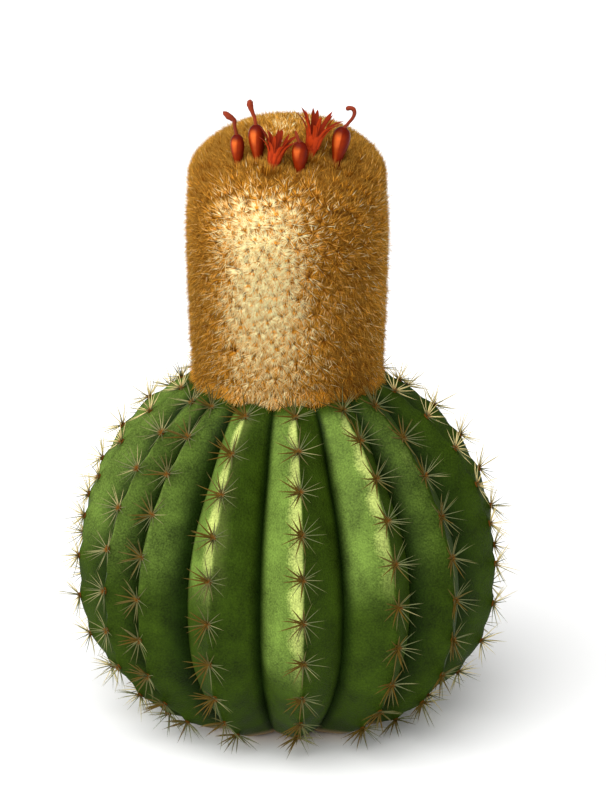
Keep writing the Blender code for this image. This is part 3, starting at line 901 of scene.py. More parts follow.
def petal_material(look):
    """Satin petals, dark along the keel and at the edges, with painted shade inside and at the foot."""
    made, nodes, shader = new_material("petal", 0.55, Specular_IOR_Level=0.05)
    along, across, inside = nodes.attributes("along", "across", "inside")
    edge = nodes.most(nodes.span(across, 0.16, 0.0, 0.0, 0.5), nodes.span(across, 0.62, 1.0))
    foot = nodes.span(along, 0.3, 0.0, 0.0, 0.4)
    dark = nodes.most(nodes.times(edge, nodes.span(along, 0.0, 0.4, 0.3, 0.95)), foot)
    # Painted shade on the petals' inner faces.
    dark = nodes.most(dark, nodes.times(inside, 0.6))
    face = nodes.mix(dark, look.petal, look.petal_dark)
    break_up(nodes, shader, face, patch=(2.4, 0.5), stipple=(0.4, 0.3), relief=0.1 * MM)
    return made


def floor_material(look):
    """A pale matt floor with a barely uneven tone."""
    made, nodes, shader = new_material("studio_floor", 0.9, Specular_IOR_Level=0.2)
    break_up(nodes, shader, nodes.plain(look.floor), patch=(300.0, 0.02), stipple=(2.0, 0.01))
    return made


# ---------------------------------------------------------------- stem


def grow_skin(look):
    """The ribbed skin from under the cap down to the root crown, in columns that end at the grooves."""
    ribs, columns = len(RIB_AZIMUTHS), look.columns + 1
    share = np.linspace(0, 1, look.rings)
    side = STEM_RIM * (ROW_CROWDING * np.sin(TURN * share) / TURN + share)
    underside = np.linspace(STEM_RIM, STEM_OUTLINE.length, UNDERSIDE_ROWS + 1)[1:]
    distance = np.concatenate([side, underside])
    rows = len(distance)
    rib, row, column = np.meshgrid(np.arange(ribs), np.arange(rows), np.arange(columns), indexing="ij")
    steps = np.linspace(-1, 1, columns)
    across = (np.sign(steps) * np.abs(steps) ** COLUMN_CROWDING)[column]
    distance = distance[row]
    points, outward = stem_point(rib, across, distance)
    # How much painted light each point takes: how it faces the lit side, less on the plant's sides and right.
    sun = np.clip(skin_normals(points) @ PAINTED_LIGHT_SIDE, 0, 1) * painted_light_round(points)
    points = points + outward * skin_lift(points, rib, across, distance)[..., None]
    points[..., 2] = np.maximum(points[..., 2], 0)
    azimuth = wrapped(RIB_EDGES[rib, 1] - FRONT_AT)
    # Painted light reaches this far down each rib, farthest at the front; lower, and under the cap, painted
    # shade.
    lit_down_to = 0.29 + 0.2 * bell(azimuth, math.radians(15))
    fields = dict(
        across=across,
        sun=sun,
        height=points[..., 2],
        fall=ramp(distance, 0, 16 * MM) * (1 - ramp(distance / STEM_RIM, lit_down_to, 0.25)),
        star=near_areole(rib, distance, 0, 7 * MM),
        aside=ramp(np.abs(azimuth), *SKIN_TURN),
        left=ramp(-azimuth, *SKIN_TURN),
    )
    shape = Shape()
    for i in range(ribs):
        values = {name: field[i].ravel() for name, field in fields.items()}
        shape.add(points[i], grid_quads(rows, columns), **values)
        close_rib(shape, points[i, 0], CAP_FOOT - 3 * MM, False)
        close_rib(shape, points[i, -1], 0, True)
    dress(shape.make("stem_skin", skin_material(look)), "stem", "stem")


def skin_normals(points, middle=(0, 0, 0)):
    """The directions away from the middle of a form, over a grid of (piece, row, column) points."""
    normals = unit(np.cross(np.gradient(points, axis=1), np.gradient(points, axis=2)))
    inward = np.sum(normals * (points - np.asarray(middle)), axis=-1, keepdims=True) < 0
    return np.where(inward, -normals, normals)


def painted_light_round(points):
    """How much painted light the skin takes round the plant: most at the front, and least on the right."""
    azimuth = wrapped(np.arctan2(points[..., 0], -points[..., 1]) - FRONT_AT)
    least = np.where(azimuth < 0, 0.6, 0.52)
    return least + (1 - least) * bell(azimuth, math.radians(37), 5)


def close_rib(shape, edge, height, below):
    """Closes a rib's end with triangles to the axis at this height."""
    count = len(edge)
    k = np.arange(count - 1)
    pair = (k + 1, k) if below else (k, k + 1)
    shape.add(
        np.concatenate([edge, [[0, 0, height]]]), (), np.stack([np.full(count - 1, count), *pair], axis=1),
        across=0, sun=0, height=height, fall=0, star=0, aside=0, left=0,
    )


def near_areole(rib, distance, shift, reach):
    """1 on the line across a rib that lies this far below each areole, and 0 away from it."""
    marks = FIRST_AREOLE_AT + np.arange(AREOLES) * AREOLE_SPACING
    return sum(bell(distance - shifted(mark, rib) - shift, reach) for mark in marks)


def skin_lift(points, rib, across, distance):
    """How far the skin stands off its plain outline: a soft wobble, and a swollen crest at each areole."""
    flat = points.reshape(-1, 3)
    wobble = sum(height * ripple(flat, size, seed) for height, size, seed in WOBBLES).reshape(distance.shape)
    swelling = SWELLING * near_areole(rib, distance, 0, SWELLING_REACH)
    dip = DIP * near_areole(rib, distance, -DIP_ABOVE, DIP_REACH)
    pull = ramp(points[..., 2], 0, PLAIN_NEAR_GROUND) * ramp(distance, 0, PLAIN_NEAR_CAP)
    return pull * (wobble + (swelling - dip) * bell(across, CREST_WIDTH))


def grow_spines(look):
    """A star of radial spines and a few central ones on every areole."""
    foot, out, up, side, azimuth = areoles()
    rng = np.random.default_rng(11)
    count, each = len(foot), look.radials + CENTRAL_SPINES
    stars, hearts = (count, look.radials), (count, CENTRAL_SPINES)

    def draw(radials, centrals):
        """Random values from these ranges for the radial and for the central spines."""
        return np.concatenate([rng.uniform(*radials, stars), rng.uniform(*centrals, hearts)], axis=1)

    uneven = rng.uniform(-RADIAL_UNEVENNESS, RADIAL_UNEVENNESS, stars)
    turn = (np.arange(look.radials)[None] + uneven) / look.radials
    turn = TURN * (turn + rng.uniform(0, 1, (count, 1)))
    angle = np.concatenate([turn, rng.uniform(0, TURN, hearts)], axis=1)
    lift = np.radians(draw(RADIAL_RISE, CENTRAL_RISE))
    lengths = look.spine_length * draw(RADIAL_SHARE, CENTRAL_SHARE)
    flat = heading(angle, side[:, None], up[:, None])
    aim = heading(lift, flat, out[:, None])
    roots = foot[:, None] + 0.6 * MM * flat + 0.3 * MM * out[:, None]
    curls = (0.10 * out[:, None] + rng.normal(0, 0.035, (count, each, 3))) * lengths[..., None]
    roots, aim, curls = (a.reshape(-1, 3) for a in (roots, unit(aim), curls))
    aim, lengths = keep_clear(roots, aim, lengths.ravel(), curls)
    turned = np.abs(wrapped(azimuth - FRONT_AT))
    straw = 0.9 * ramp(turned, *STRAW_TURN)
    backward = ramp(aim.reshape(count, each, 3)[..., 1], -0.65, 0.5)
    young = 0.76 - 0.27 * np.cos(angle) + rng.normal(0, 0.1, (count, each))
    young = young + straw[:, None] * ((0.45 - young) * (1 - backward) + (0.02 - young) * backward)
    shades = np.clip(young, 0, 1).ravel()
    thick = 0.52 + 0.48 * ramp(shades, 0.55, 0.35)
    radii = look.spine_radius * thick * rng.uniform(0.9, 1.1, count * each)
    shape = Shape()
    add_hairs(shape, roots, aim, lengths, radii, shades, curls, sides=4, steps=4, taper=0.7)
    colours = (look.spine_root, look.spine_straw, look.spine_old, look.spine_young, look.spine_tip)
    dress(shape.make("spines", fibre_material("spines", colours, 0.3, 0.3, 0.6)), "spine")


def keep_clear(roots, aims, lengths, curls):
    """Turns spines that would dip into the ground or into the cap, and shortens what still would."""
    tips = roots + aims * lengths[:, None] + curls
    low = np.maximum(SPINE_FLOOR - tips[:, 2], 0)
    tips[:, 2] += low
    radius = np.hypot(tips[:, 0], tips[:, 1])
    least = CAP_FOOT_RADIUS + SPINE_CLEARANCE
    crowded = (tips[:, 2] > CAP_FOOT - SPINES_NEAR_CAP) & (radius < least)
    grown = np.where(crowded, least / np.maximum(radius, 1e-6), 1.0)
    tips[:, :2] *= grown[:, None]
    moved = tips - curls - roots
    reach = np.minimum(np.linalg.norm(moved, axis=1), lengths)
    return unit(moved), reach


def grow_felt(look):
    """A cushion of short felt under each star of spines."""
    foot, out, up, side, _ = areoles()
    rng = np.random.default_rng(23)
    shape = Shape()
    turns, rows = 12, 4
    quads = grid_quads(rows, turns, wrap=True)[:, ::-1]
    top = close_ring(rows * turns, last_row(rows, turns))
    for i in range(len(foot)):
        wide = CUSHION_WIDTH * rng.uniform(0.9, 1.15)
        tall = CUSHION_HEIGHT * rng.uniform(0.9, 1.15)
        oval = heading(circle(turns), wide * side[i], tall * up[i])
        rings = [
            foot[i] + math.sin(tilt) * oval + (CUSHION_DEPTH * math.cos(tilt) - CUSHION_SINK) * out[i]
            for tilt in np.linspace(math.pi / 2, 0.2, rows)
        ]
        points = np.concatenate([*rings, [foot[i] + 0.9 * MM * out[i]]])
        shape.add(points, quads, top, along=0.2, shade=0.4, bake_u=0.4, bake_v=0.2)
    grid, total = (len(foot), FELT_HAIRS), len(foot) * FELT_HAIRS
    angle = rng.uniform(0, TURN, grid)
    spread = np.sqrt(rng.uniform(0, 1, grid))
    flat = heading(angle, side[:, None], 1.25 * up[:, None])
    roots = foot[:, None] + (1.3 * MM * spread)[..., None] * flat + 0.2 * MM * out[:, None]
    aims = unit(0.8 * spread[..., None] * flat + out[:, None] + rng.normal(0, 0.25, (*grid, 3)))
    lengths = rng.uniform(*FELT_LENGTH, total) * MM
    shades = np.clip(rng.normal(0.5, 0.25, total), 0, 1)
    add_hairs(shape, roots.reshape(-1, 3), aims.reshape(-1, 3), lengths, FELT_RADIUS, shades, steps=1)
    colours = [tuple(share * c for c in look.felt) for share in (0.4, 0.6, 1.0, 1.5, 1.5)]
    dress(shape.make("areole_felt", fibre_material("areole_felt", colours, 0.3, roughness=0.9)), "wool")


# ---------------------------------------------------------------- cap


def spiral(outline, count):
    """(azimuth, distance) of points in one spiral that share the surface evenly."""
    middle = (outline.points[1:, 0] + outline.points[:-1, 0]) / 2
    areas = np.concatenate([[0], np.cumsum(middle * np.diff(outline.lengths))])
    k = np.arange(count)
    return k * GOLDEN_ANGLE, np.interp(areas[-1] * (k + 0.5) / count, areas, outline.lengths)


def cap_frames(outline, azimuth, distance):
    """Points of the cap's surface with the directions out, down and sideways from them."""
    radius, height, outward = outline.at(distance)
    outward = -outward
    out = around(azimuth, outward[:, 0], outward[:, 1])
    down = around(azimuth, outward[:, 1], -outward[:, 0])
    return around(azimuth, radius, height), out, down, np.cross(out, down)


def clear_of_blooms(points, margin):
    """False for points that lie in a pocket of the cap where a fruit or a flower stands."""
    clear = np.ones(len(points), bool)
    for spec in blooms().values():
        place = stand(spec)
        local = (points - np.array(place.translation)) @ np.array(place.to_3x3())
        width = spec.get("radius", TUBE_RADIUS / MM) * MM + margin
        clear &= ~((np.hypot(local[:, 0], local[:, 1]) < width) & (local[:, 2] > -2 * MM))
    return clear


def grow_core(look):
    """The woolly body of the cap, rounded over at the crown and flat at the foot."""
    outline = cap_outline(inset=look.depth)
    rows, columns = 110, 128
    distance = np.linspace(0, outline.length, rows, endpoint=False)
    grid_a, grid_d = np.meshgrid(circle(columns), distance)
    points, out, _, _ = cap_frames(outline, grid_a.ravel(), grid_d.ravel())
    points = points + out * (0.5 * MM * ripple(points, 12 * MM, 8))[:, None]
    points[:, 2] = np.maximum(points[:, 2], CAP_FOOT)
    top, foot = np.array([[0, 0, outline.points[-1, 1]]]), np.array([[0, 0, CAP_FOOT]])
    shape = Shape()
    shape.add(
        np.concatenate([points, top, foot]),
        grid_quads(rows, columns, wrap=True)[:, ::-1],
        np.concatenate([
            close_ring(rows * columns, last_row(rows, columns)),
            close_ring(rows * columns + 1, np.arange(columns), reverse=True),
        ]),
        shade=np.clip(np.concatenate([tone_and_painted_light(points), [0.4, 0.3]]), 0, 1),
    )
    dress(shape.make("cap_wool", wool_material(look)), "wool", "cephalium")


def grow_bristles(look):
    """Tufts of bristles, each a small shuttlecock that hangs on the wall and rises on the crown."""
    outline = cap_outline(inset=look.depth)
    azimuth, distance = spiral(outline, look.tufts)
    rng = np.random.default_rng(5)
    azimuth = azimuth + rng.normal(0, TUFT_UNEVENNESS, look.tufts) / CAP_RADIUS
    distance = distance + rng.normal(0, TUFT_UNEVENNESS, look.tufts)
    distance = np.clip(distance, 0, outline.length - 0.1 * MM)
    frames = cap_frames(outline, azimuth, distance)
    # The tufts' tone carries the cap's painted light and shade.
    tone = tone_and_painted_light(frames[0])
    for piece in range(BRISTLE_PIECES):
        chosen = slice(piece, None, BRISTLE_PIECES)
        shape = Shape()
        add_tufts(shape, look, rng, *(part[chosen] for part in frames), tone[chosen])
        dress_bristles(shape, f"cap_bristles_{piece + 1}", look)


def dress_bristles(shape, name, look):
    """One piece of the cap's bristles, in the finish that they all share."""
    dress(shape.make(name, once("cap_bristles", bristle_material, look)), "wool")


def cap_share(points):
    """How far up the cap these points lie, from 0 at its foot to 1 on its crown."""
    return (points[:, 2] - CAP_FOOT) / (CAP_WALL + CAP_CROWN)


def tone_and_painted_light(points):
    """The tone of the tufts: golden, a painted highlight on the front left, painted shade right and far left.

    The shoulder is darker, and the very top is pale.
    """
    azimuth = np.arctan2(points[:, 0], -points[:, 1])
    share = cap_share(points)
    middle = PAINTED_LIGHT_AT + PAINTED_LIGHT_SWING * np.clip(0.7 - share, 0, 0.5)
    # Painted highlight on the front, painted shade on the right flank and at the left edge.
    painted_light = bell(wrapped(azimuth - middle), PAINTED_LIGHT_WIDTH, 3.0)
    painted_shade = bell(wrapped(azimuth - SHADED_AT), SHADED_WIDTH)
    limb = bell(wrapped(azimuth - LIMB_AT), LIMB_WIDTH)
    wall, shoulder = between(share, *WALL_ZONE), between(share, *SHOULDER_ZONE)
    lit_gain = (0.24 + 0.06 * ramp(share, 0, 0.4)) * (1 - shoulder) + 0.84 * wall
    tone = 0.32 + painted_light * lit_gain - 0.2 * shoulder
    tone = tone - (0.4 - 0.22 * ramp(share, 0, 0.5)) * painted_shade
    tone = tone - (0.28 + 0.2 * ramp(share, 0.5, 0.2)) * limb
    tone = tone - 0.1 * ramp(share, *CROWN_RISE) * (1 - 0.4 * painted_light)
    return tone + 0.45 * ramp(share, *RIM_RISE) + 0.07 * ripple(points, 30 * MM, 9)


class Coat(NamedTuple):
    """One coat of a tuft's bristles. Ranges are (least, most), tilts are in degrees, feet and lift in mm."""

    each: int  # bristles in the coat
    width: float  # share of the tuft's opening that they fill
    tilts: tuple  # how far they lean over
    feet: tuple  # how far their feet stand from the tuft's middle
    lift: float  # how far their feet stand above the tuft's
    length: float  # share of a bristle's full length
    shades: tuple  # in a tuft in painted shade and in one in the painted highlight
    radius: float
    long_share: float  # share of bristles that grow longer and paler


def tuft_hang(share):
    """How far tufts hang at this share of the cap's height: down on the wall, up where it is below 0.

    They rise most at the shoulder, and lie flatter on the crown.
    """
    hang = 0.32 - ramp(share, 0.3, 0.5)
    return hang + (-0.1 - hang) * ramp(share, 0.78, 0.14)


def add_tufts(shape, look, rng, centre, out, down, side, tone):
    """Each tuft: an undercoat, a fan of pale guard bristles over it, and a dark heart where they meet."""
    share = cap_share(centre) + 0.03 * ripple(centre, 20 * MM, 12)
    hang = tuft_hang(share)
    crown = ramp(share, *LYING_RISE)
    foot = (1 - ramp(share, 0, 0.5)) * np.clip(tone, 0, 1)
    count = len(centre)
    opening = look.fan + (TURN - look.fan) * bell(hang + 0.3, 0.25)
    middle = math.pi / 2 * np.sign(hang + 0.3) + rng.normal(0, 0.15, count)
    coats = (
        Coat(look.bristles, 1.0, (14, 50), (0.3, 3.0), 0.0, 1.0, (0.0, 0.44), look.bristle_radius, 0.16),
        Coat(look.guards, 0.94, (42, 58), (0.4, 1.4), 2.2, 0.8, (0.34, 1.15), look.guard_radius, 0),
        Coat(look.accents, 0.45, (46, 56), (0.1, 0.3), 2.9, 0.5, (0.0, 0.3), look.guard_radius, 0),
    )
    for coat in coats:
        grid = (count, coat.each)
        slot = (np.arange(coat.each) + rng.uniform(0.2, 0.8, grid)) / coat.each - 0.5
        angle = middle[:, None] + coat.width * opening[:, None] * slot
        spread = np.sqrt(rng.uniform(0, 1, grid))
        tilt = np.radians(within(coat.tilts, spread)) * (1 - 0.35 * crown[:, None])
        flat = heading(angle, side[:, None], down[:, None])
        aims = heading(tilt, out[:, None], flat)
        aims = unit(aims + hang[:, None, None] * down[:, None] + rng.normal(0, 0.025, aims.shape))
        aims = aims.reshape(-1, 3)
        roots = centre[:, None] + (within(coat.feet, spread) * MM)[..., None] * flat
        roots = (roots + ((coat.lift - 2.6 * crown) * MM)[:, None, None] * out[:, None]).reshape(-1, 3)
        long = rng.uniform(0, 1, grid) < coat.long_share
        lengths = look.bristle_length * coat.length * rng.uniform(0.8, 1.1, grid) * (1 + 0.32 * long)
        lengths = (lengths * (1 - 0.12 * crown[:, None])).ravel()
        dark_share = look.dark_share + 0.36 * (1 - tone) + 0.15 * crown - 0.2 * foot
        dark = rng.uniform(0, 1, grid) < dark_share[:, None]
        dull, bright = coat.shades
        shades = within((dull - 0.05, bright + 0.05), tone[:, None]) + rng.normal(0, 0.25, grid)
        shades = np.clip(shades - 0.52 * dark + 0.4 * long, 0.02, 1 - 0.2 * foot[:, None]).ravel()
        tips = roots + aims * lengths[:, None]
        keep = clear_of_blooms(roots, 0.2 * MM) & clear_of_blooms(tips, -0.4 * MM)
        keep &= tips[:, 2] > CAP_FOOT - 5 * MM
        radii = coat.radius * rng.uniform(0.75, 1.1, keep.sum())
        radii = radii * np.repeat(0.84 + 0.28 * tone, coat.each)[keep]
        add_hairs(shape, roots[keep], aims[keep], lengths[keep], radii, shades[keep], steps=1)


def within(ends, share):
    """The value that lies this share of the way between two ends."""
    return ends[0] + (ends[1] - ends[0]) * share


def blooms():
    """The fruits and the flowers together."""
    return {**FRUITS, **FLOWERS}


def grow_collars(look):
    """Bristles close round the foot of every fruit and flower."""
    rng = np.random.default_rng(41)
    shape = Shape()
    count = COLLAR_BRISTLES
    for spec in blooms().values():
        width = 0.6 * spec["radius"] * MM if "radius" in spec else TUBE_RADIUS
        angle = rng.uniform(0, TURN, count)
        around_axis = heading(angle, np.array([1, 0, 0]), np.array([0, 1, 0]))
        roots = around_axis * (width + rng.uniform(0.3, 2.4, count) * MM)[:, None]
        roots[:, 2] = rng.uniform(-2, 0, count) * MM
        roots = settle(roots, spec)
        aims = unit(around_axis * rng.uniform(0.0, 0.32, (count, 1)) + [[0, 0, 1]])
        aims = aims @ np.array(stand(spec).to_3x3()).T
        # Their tone carries the cap's painted light and shade.
        shades = np.clip(tone_and_painted_light(roots) - 0.08 + rng.normal(0, 0.2, count), 0, 1)
        lengths = rng.uniform(*COLLAR_LENGTH, count) * MM
        add_hairs(shape, roots, aims, lengths, look.bristle_radius, shades)
    dress_bristles(shape, "bloom_collars", look)


def grow_fringe(look):
    """Pale hairs along the foot of the cap that comb down over the ribs."""
    rng = np.random.default_rng(31)
    count = FRINGE_HAIRS
    azimuth = rng.uniform(0, TURN, count)
    outline = cap_outline(inset=look.depth - 1.5 * MM)
    centre, out, down, side = cap_frames(outline, azimuth, rng.uniform(0.5, 9, count) * MM)
    aims = out * rng.uniform(0.5, 1.0, (count, 1)) + down * rng.uniform(0.25, 0.8, (count, 1))
    aims = unit(aims + side * rng.normal(0, 0.28, (count, 1)))
    lengths = rng.uniform(*FRINGE_LENGTH, count) * MM
    # Their tone carries the cap's painted light and shade.
    shades = np.clip(tone_and_painted_light(centre) + rng.normal(0.12, 0.16, count), 0, 1)
    curls = down * (0.12 * lengths)[:, None]
    shape = Shape()
    add_hairs(shape, centre, aims, lengths, FRINGE_RADIUS, shades, curls, steps=3)
    dress_bristles(shape, "cap_fringe", look)


# ---------------------------------------------------------------- fruits and flowers


def stand(spec):
    """Where a fruit or a flower stands: the matrix from its upright form to the crown of the cap."""
    x, y = spec["at"][0] * MM, spec["at"][1] * MM
    lean_x, lean_y = (math.radians(degrees) for degrees in spec["lean"])
    turn = Matrix.Rotation(lean_x, 4, "Y") @ Matrix.Rotation(-lean_y, 4, "X")
    front = y - spec.get("radius", 0) * MM
    return Matrix.Translation((x, y, crown_at(x, front) - SOCKET_SINK)) @ turn


def settle(points, spec):
    """Carries points from a fruit's or a flower's upright form to where it stands."""
    place = np.array(stand(spec))
    return points @ place[:3, :3].T + place[:3, 3]


def smooth_line(points, count):
    """A smooth line through rows of points, by cubic interpolation."""
    points = np.asarray(points, float)
    padded = np.concatenate([2 * points[:1] - points[1:2], points, 2 * points[-1:] - points[-2:-1]])
    t = np.linspace(0, len(points) - 1, count)
    i = np.minimum(t.astype(int), len(points) - 2)
    f = (t - i)[:, None]
    a, b, c, d = (padded[i + n] for n in range(4))
    return 0.5 * (2 * b + (c - a) * f + (2 * a - 5 * b + 4 * c - d) * f**2 + (3 * b - a - 3 * c + d) * f**3)


def berry_outline(spec, rows):
    """(radius, height) of a berry, slim at its foot and widest a third below its top."""
    scale = np.array([spec["radius"], spec["length"]]) * MM
    return np.maximum(smooth_line(BERRY_OUTLINE, rows), 0) * scale


def lathe(profile, columns):
    """The azimuths, radii and heights of a grid of points that turns a profile round the axis."""
    azimuth, radius = np.meshgrid(circle(columns), profile[:, 0])
    return azimuth, radius, np.broadcast_to(profile[:, 1:2], azimuth.shape)


def grow_berry(name, spec, look):
    """A glossy berry with a faint ring where the withered flower leaves it."""
    rows, columns = 46, 44
    azimuth, radius, height = lathe(berry_outline(spec, rows), columns)
    along = height / (spec["length"] * MM)
    ring = 0.05 * bell(along - 0.955, 0.02)
    dent = 1 - ring + 0.02 * np.cos(3 * azimuth + spec["length"])
    points = around(azimuth, radius * dent, height)
    # How far each point faces the side of the painted highlight.
    normals = skin_normals(points[None], [0, 0, spec["length"] * MM / 2]).reshape(-1, 3)
    sun = (normals @ np.array(stand(spec).to_3x3()).T) @ PAINTED_HIGHLIGHT_SIDE
    points = settle(points.reshape(-1, 3), spec)
    shape = Shape()
    shape.add(points, grid_quads(rows, columns, wrap=True), along=along.ravel(), sun=sun)
    dress(shape.make(f"{name}_berry", once("fruit_skin", berry_material, look)), "fruit", name)


def grow_remnant(name, spec, look):
    """The withered flower: a thin dry thread, creased lengthwise, that thickens towards a flattened end."""
    rows, columns = 34, 12
    line = np.array(spec["remnant"], float)
    path = smooth_line(line[:, :3], rows) * MM
    path[:, 2] += spec["length"] * REMNANT_FOOT * MM
    marks = np.arange(len(line))
    radii = np.interp(np.linspace(0, len(line) - 1, rows), marks, line[:, 3]) * MM
    radii[-3:] *= (0.9, 0.65, 0.25)
    ahead = unit(np.gradient(path, axis=0))
    side = unit(np.cross(ahead, [[0, 1, 0]]))
    other = np.cross(ahead, side)
    turn = circle(columns)[None]
    crease = 1 + 0.16 * np.cos(4 * turn) + 0.05 * np.cos(5 * turn + np.arange(rows)[:, None])
    width = radii[:, None] * crease
    flat = width * np.linspace(1, 0.62, rows)[:, None]
    sideways = (np.cos(turn) * width)[..., None] * side[:, None]
    points = path[:, None] + sideways + (np.sin(turn) * flat)[..., None] * other[:, None]
    points = np.concatenate([points.reshape(-1, 3), path[-1:] + ahead[-1:] * 0.25 * MM])
    shape = Shape()
    shape.add(
        settle(points, spec),
        grid_quads(rows, columns, wrap=True)[:, ::-1],
        close_ring(rows * columns, last_row(rows, columns)),
    )
    dress(shape.make(f"{name}_remnant", once("remnant", remnant_material, look)), "fruit")


def grow_flower(name, spec, look):
    """A slim tube that opens into two whorls of narrow pointed petals."""
    shape = Shape()
    add_tube(shape, spec)
    inner = look.petals * 3 // 8
    whorls = ((look.petals - inner, 0.0, 1.0, 1.0), (inner, 0.5, INNER_SPREAD, INNER_SCALE))
    rng = np.random.default_rng(int(spec["turn"]))
    for count, offset, share, scale in whorls:
        for i in range(count):
            azimuth = math.radians(spec["turn"]) + TURN * (i + offset) / count
            spread = share * spec["spread"] + rng.uniform(-4, 4)
            add_petal(shape, spec, azimuth, spread, scale * rng.uniform(0.88, 1.03), rng.uniform(-0.12, 0.12))
    shape.points = [settle(points, spec) for points in shape.points]
    dress(shape.make(f"{name}_petals", once("petal", petal_material, look)), "flower", name)


def add_tube(shape, spec):
    """The tube, from the floor of its throat up over the lip and down its outside to its foot."""
    tube, throat = spec["tube"] * MM, spec["throat"] * MM
    inside = [(0.3 * throat, 0.62 * tube), (0.6 * throat, 0.72 * tube), (0.86 * throat, 0.98 * tube)]
    lip = [(0.95 * throat, 0.98 * tube), (0.88 * throat, 0.75 * tube)]
    outside = [(TUBE_RADIUS, 0.36 * tube), (0.95 * TUBE_RADIUS, 0.1 * tube), (0.8 * TUBE_RADIUS, 0)]
    rows, columns = 30, 36
    azimuth, radius, height = lathe(smooth_line(inside + lip + outside, rows), columns)
    fluted = radius * (1 + 0.05 * np.cos(7 * azimuth) * smooth_step(height / tube))
    points = around(azimuth, fluted, height).reshape(-1, 3)
    shape.add(
        np.concatenate([points, [[0, 0, 0.6 * tube]], [[0, 0, 0]]]),
        grid_quads(rows, columns, wrap=True),
        np.concatenate([
            close_ring(rows * columns, np.arange(columns)),
            close_ring(rows * columns + 1, last_row(rows, columns), reverse=True),
        ]),
        along=np.concatenate([0.4 * height.ravel() / tube, [0, 0]]),
        across=0.4,
        inside=0,
    )


def add_petal(shape, spec, azimuth, spread, scale, twist):
    """One arched blade with a keel, as two faces joined at their edges."""
    rows, columns = 16, 9
    size = rows * columns
    reach = spec["petal"] * MM * scale
    tube, throat = spec["tube"] * MM, spec["throat"] * MM
    along, across = np.meshgrid(np.linspace(-0.5, 1, rows), np.linspace(-1, 1, columns), indexing="ij")
    rising, claw = np.clip(along, 0, 1), np.minimum(along, 0)
    width = PETAL_WIDTH * (0.84 + 0.3 * rising) * np.clip(1 - rising**6, 0, 1) * (1 + 0.3 * claw)
    angle = math.radians(spread) * (0.25 + 0.95 * rising)
    out = 0.86 * throat + reach * rising * np.sin(angle) + 0.30 * throat * claw
    up = tube - 2.5 * MM + reach * rising * np.cos(angle) + 0.65 * tube * claw
    bow = 0.16 * width * across**2
    turn = azimuth + twist * rising
    x = width / 2 * across
    faces = []
    for lift in (PETAL_THICKNESS / 2, -PETAL_THICKNESS / 2):
        thick = lift * (1 - np.abs(across) ** 4) * (1 - rising**6)
        keel = PETAL_KEEL * bell(across, 0.2) * (lift > 0)
        y = bow - out - thick - keel
        turned = (x * np.cos(turn) - y * np.sin(turn), x * np.sin(turn) + y * np.cos(turn), up - 0.3 * bow)
        faces.append(np.stack(turned, axis=-1).reshape(-1, 3))
    outer = grid_quads(rows, columns)
    shape.add(
        np.concatenate(faces),
        np.concatenate([outer[:, ::-1], outer + size, rim_quads(rows, columns)]),
        along=np.tile(rising.ravel(), 2),
        across=np.tile(np.abs(across).ravel(), 2),
        inside=np.repeat([0.0, 1.0], size),
    )


def rim_quads(rows, columns):
    """Quads that join the edges of two grids of points, one after the other."""
    size = rows * columns
    ring = np.concatenate([
        np.arange(columns),
        np.arange(1, rows) * columns + columns - 1,
        (rows - 1) * columns + np.arange(columns - 2, -1, -1),
        np.arange(rows - 2, 0, -1) * columns,
    ])
    after = np.roll(ring, -1)
    return np.stack([ring, after, after + size, ring + size], axis=1)


# ---------------------------------------------------------------- stage


def build_stage(look):
    """A wide pale floor, soft lights and the camera."""
    build_floor(look)
    build_lights(look)
    build_camera(look)


def build_floor(look):
    corners = [(x * FLOOR_HALF, y * FLOOR_HALF, 0) for x, y in ((-1, -1), (1, -1), (1, 1), (-1, 1))]
    mesh = bpy.data.meshes.new("studio_floor")
    mesh.from_pydata(corners, [], [(0, 1, 2, 3)])
    mesh.materials.append(floor_material(look))
    place_new("studio_floor", mesh)


def build_lights(look):
    """A soft key light, and an even sky that the camera sees as white."""
    sun = bpy.data.lights.new("key_light", "SUN")
    sun.energy = look.key
    sun.angle = look.key_softness
    key = place_new("key_light", sun)
    key.rotation_euler = aim_from(look.key_azimuth, look.key_elevation).to_track_quat("Z", "Y").to_euler()
    world = bpy.data.worlds.new("studio_sky")
    world.use_nodes = True
    nodes = Nodes(world.node_tree)
    seen = nodes.add("ShaderNodeLightPath").outputs["Is Camera Ray"]
    sky = world.node_tree.nodes["Background"]
    sky.inputs["Color"].default_value = (1, 1, 1, 1)
    nodes.link(nodes.span(seen, 0.0, 1.0, look.sky, 1.0), sky.inputs["Strength"])
    bpy.context.scene.world = world


def build_camera(look):
    data = bpy.data.cameras.new("camera")
    data.lens = look.lens
    data.clip_end = 50
    camera = place_new("camera", data)
    back = aim_from(0, look.elevation)
    camera.location = Vector(look.target) + back * look.distance
    camera.rotation_euler = back.to_track_quat("Z", "Y").to_euler()
    bpy.context.scene.camera = camera
    bpy.context.scene.view_settings.view_transform = "Standard"


def aim_from(azimuth, elevation):
    """The direction from the plant to something at this azimuth and elevation."""
    flat = math.cos(elevation)
    return Vector((flat * math.sin(azimuth), -flat * math.cos(azimuth), math.sin(elevation)))


# ---------------------------------------------------------------- operators and panel


class CACTUS_OT_skin(bpy.types.Operator):
    """Grow the ribbed green skin of the stem"""

    bl_idname = "cactus.grow_skin"
    bl_label = "Grow skin"

    def execute(self, context):
        grow_skin(context.scene.cactus_stem)
        return {"FINISHED"}


class CACTUS_OT_spines(bpy.types.Operator):
    """Grow the felt cushions and the stars of spines along the crests"""

    bl_idname = "cactus.grow_spines"
    bl_label = "Grow spines"

    def execute(self, context):
        grow_felt(context.scene.cactus_stem)
        grow_spines(context.scene.cactus_stem)
        return {"FINISHED"}


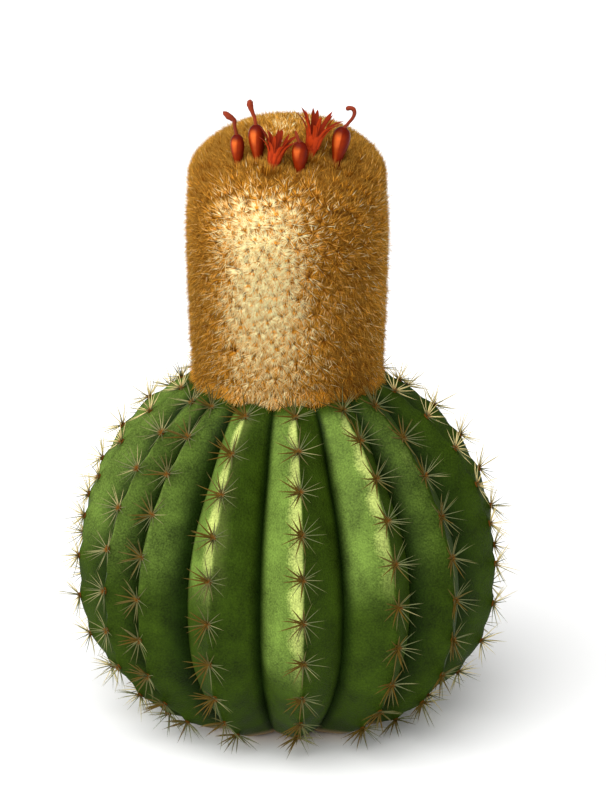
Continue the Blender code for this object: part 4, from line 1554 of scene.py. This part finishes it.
class CACTUS_OT_cap(bpy.types.Operator):
    """Grow the woolly cap with its tufts of bristles and its fringe"""

    bl_idname = "cactus.grow_cap"
    bl_label = "Grow cap"

    def execute(self, context):
        for grow in (grow_core, grow_bristles, grow_collars, grow_fringe):
            grow(context.scene.cactus_cap)
        return {"FINISHED"}


class CACTUS_OT_fruits(bpy.types.Operator):
    """Grow the glossy fruits with their withered flowers"""

    bl_idname = "cactus.grow_fruits"
    bl_label = "Grow fruits"

    def execute(self, context):
        for name, spec in FRUITS.items():
            grow_berry(name, spec, context.scene.cactus_bloom)
            grow_remnant(name, spec, context.scene.cactus_bloom)
        return {"FINISHED"}


class CACTUS_OT_flowers(bpy.types.Operator):
    """Grow the open flowers"""

    bl_idname = "cactus.grow_flowers"
    bl_label = "Grow flowers"

    def execute(self, context):
        for name, spec in FLOWERS.items():
            grow_flower(name, spec, context.scene.cactus_bloom)
        return {"FINISHED"}


class CACTUS_OT_stage(bpy.types.Operator):
    """Set up the floor, the lights and the camera"""

    bl_idname = "cactus.build_stage"
    bl_label = "Build stage"

    def execute(self, context):
        build_stage(context.scene.cactus_stage)
        return {"FINISHED"}


class CACTUS_PT_panel(bpy.types.Panel):
    """Lists the pieces of the plant"""

    bl_idname = "CACTUS_PT_panel"
    bl_label = "Turk's Cap Cactus"
    bl_space_type = "VIEW_3D"
    bl_region_type = "UI"
    bl_category = "Cactus"

    def draw(self, context):
        for operator in OPERATORS:
            self.layout.operator(operator.bl_idname)
        for name, group in SETTINGS.items():
            settings = getattr(context.scene, name)
            for key in group.__annotations__:
                self.layout.prop(settings, key)


SETTINGS = {
    "cactus_stem": StemSettings,
    "cactus_cap": CapSettings,
    "cactus_bloom": BloomSettings,
    "cactus_stage": StageSettings,
}
OPERATORS = (
    CACTUS_OT_skin,
    CACTUS_OT_spines,
    CACTUS_OT_cap,
    CACTUS_OT_fruits,
    CACTUS_OT_flowers,
    CACTUS_OT_stage,
)


def register():
    for group in SETTINGS.values():
        bpy.utils.register_class(group)
    for name, group in SETTINGS.items():
        setattr(bpy.types.Scene, name, PointerProperty(type=group))
    for kind in (*OPERATORS, CACTUS_PT_panel):
        bpy.utils.register_class(kind)


def unregister():
    for kind in reversed((*OPERATORS, CACTUS_PT_panel)):
        bpy.utils.unregister_class(kind)
    for name, group in SETTINGS.items():
        delattr(bpy.types.Scene, name)
        bpy.utils.unregister_class(group)


def main():
    register()
    bpy.ops.cactus.grow_skin()
    bpy.ops.cactus.grow_spines()
    bpy.ops.cactus.grow_cap()
    bpy.ops.cactus.grow_fruits()
    bpy.ops.cactus.grow_flowers()
    bpy.ops.cactus.build_stage()


if __name__ == "__main__":
    main()
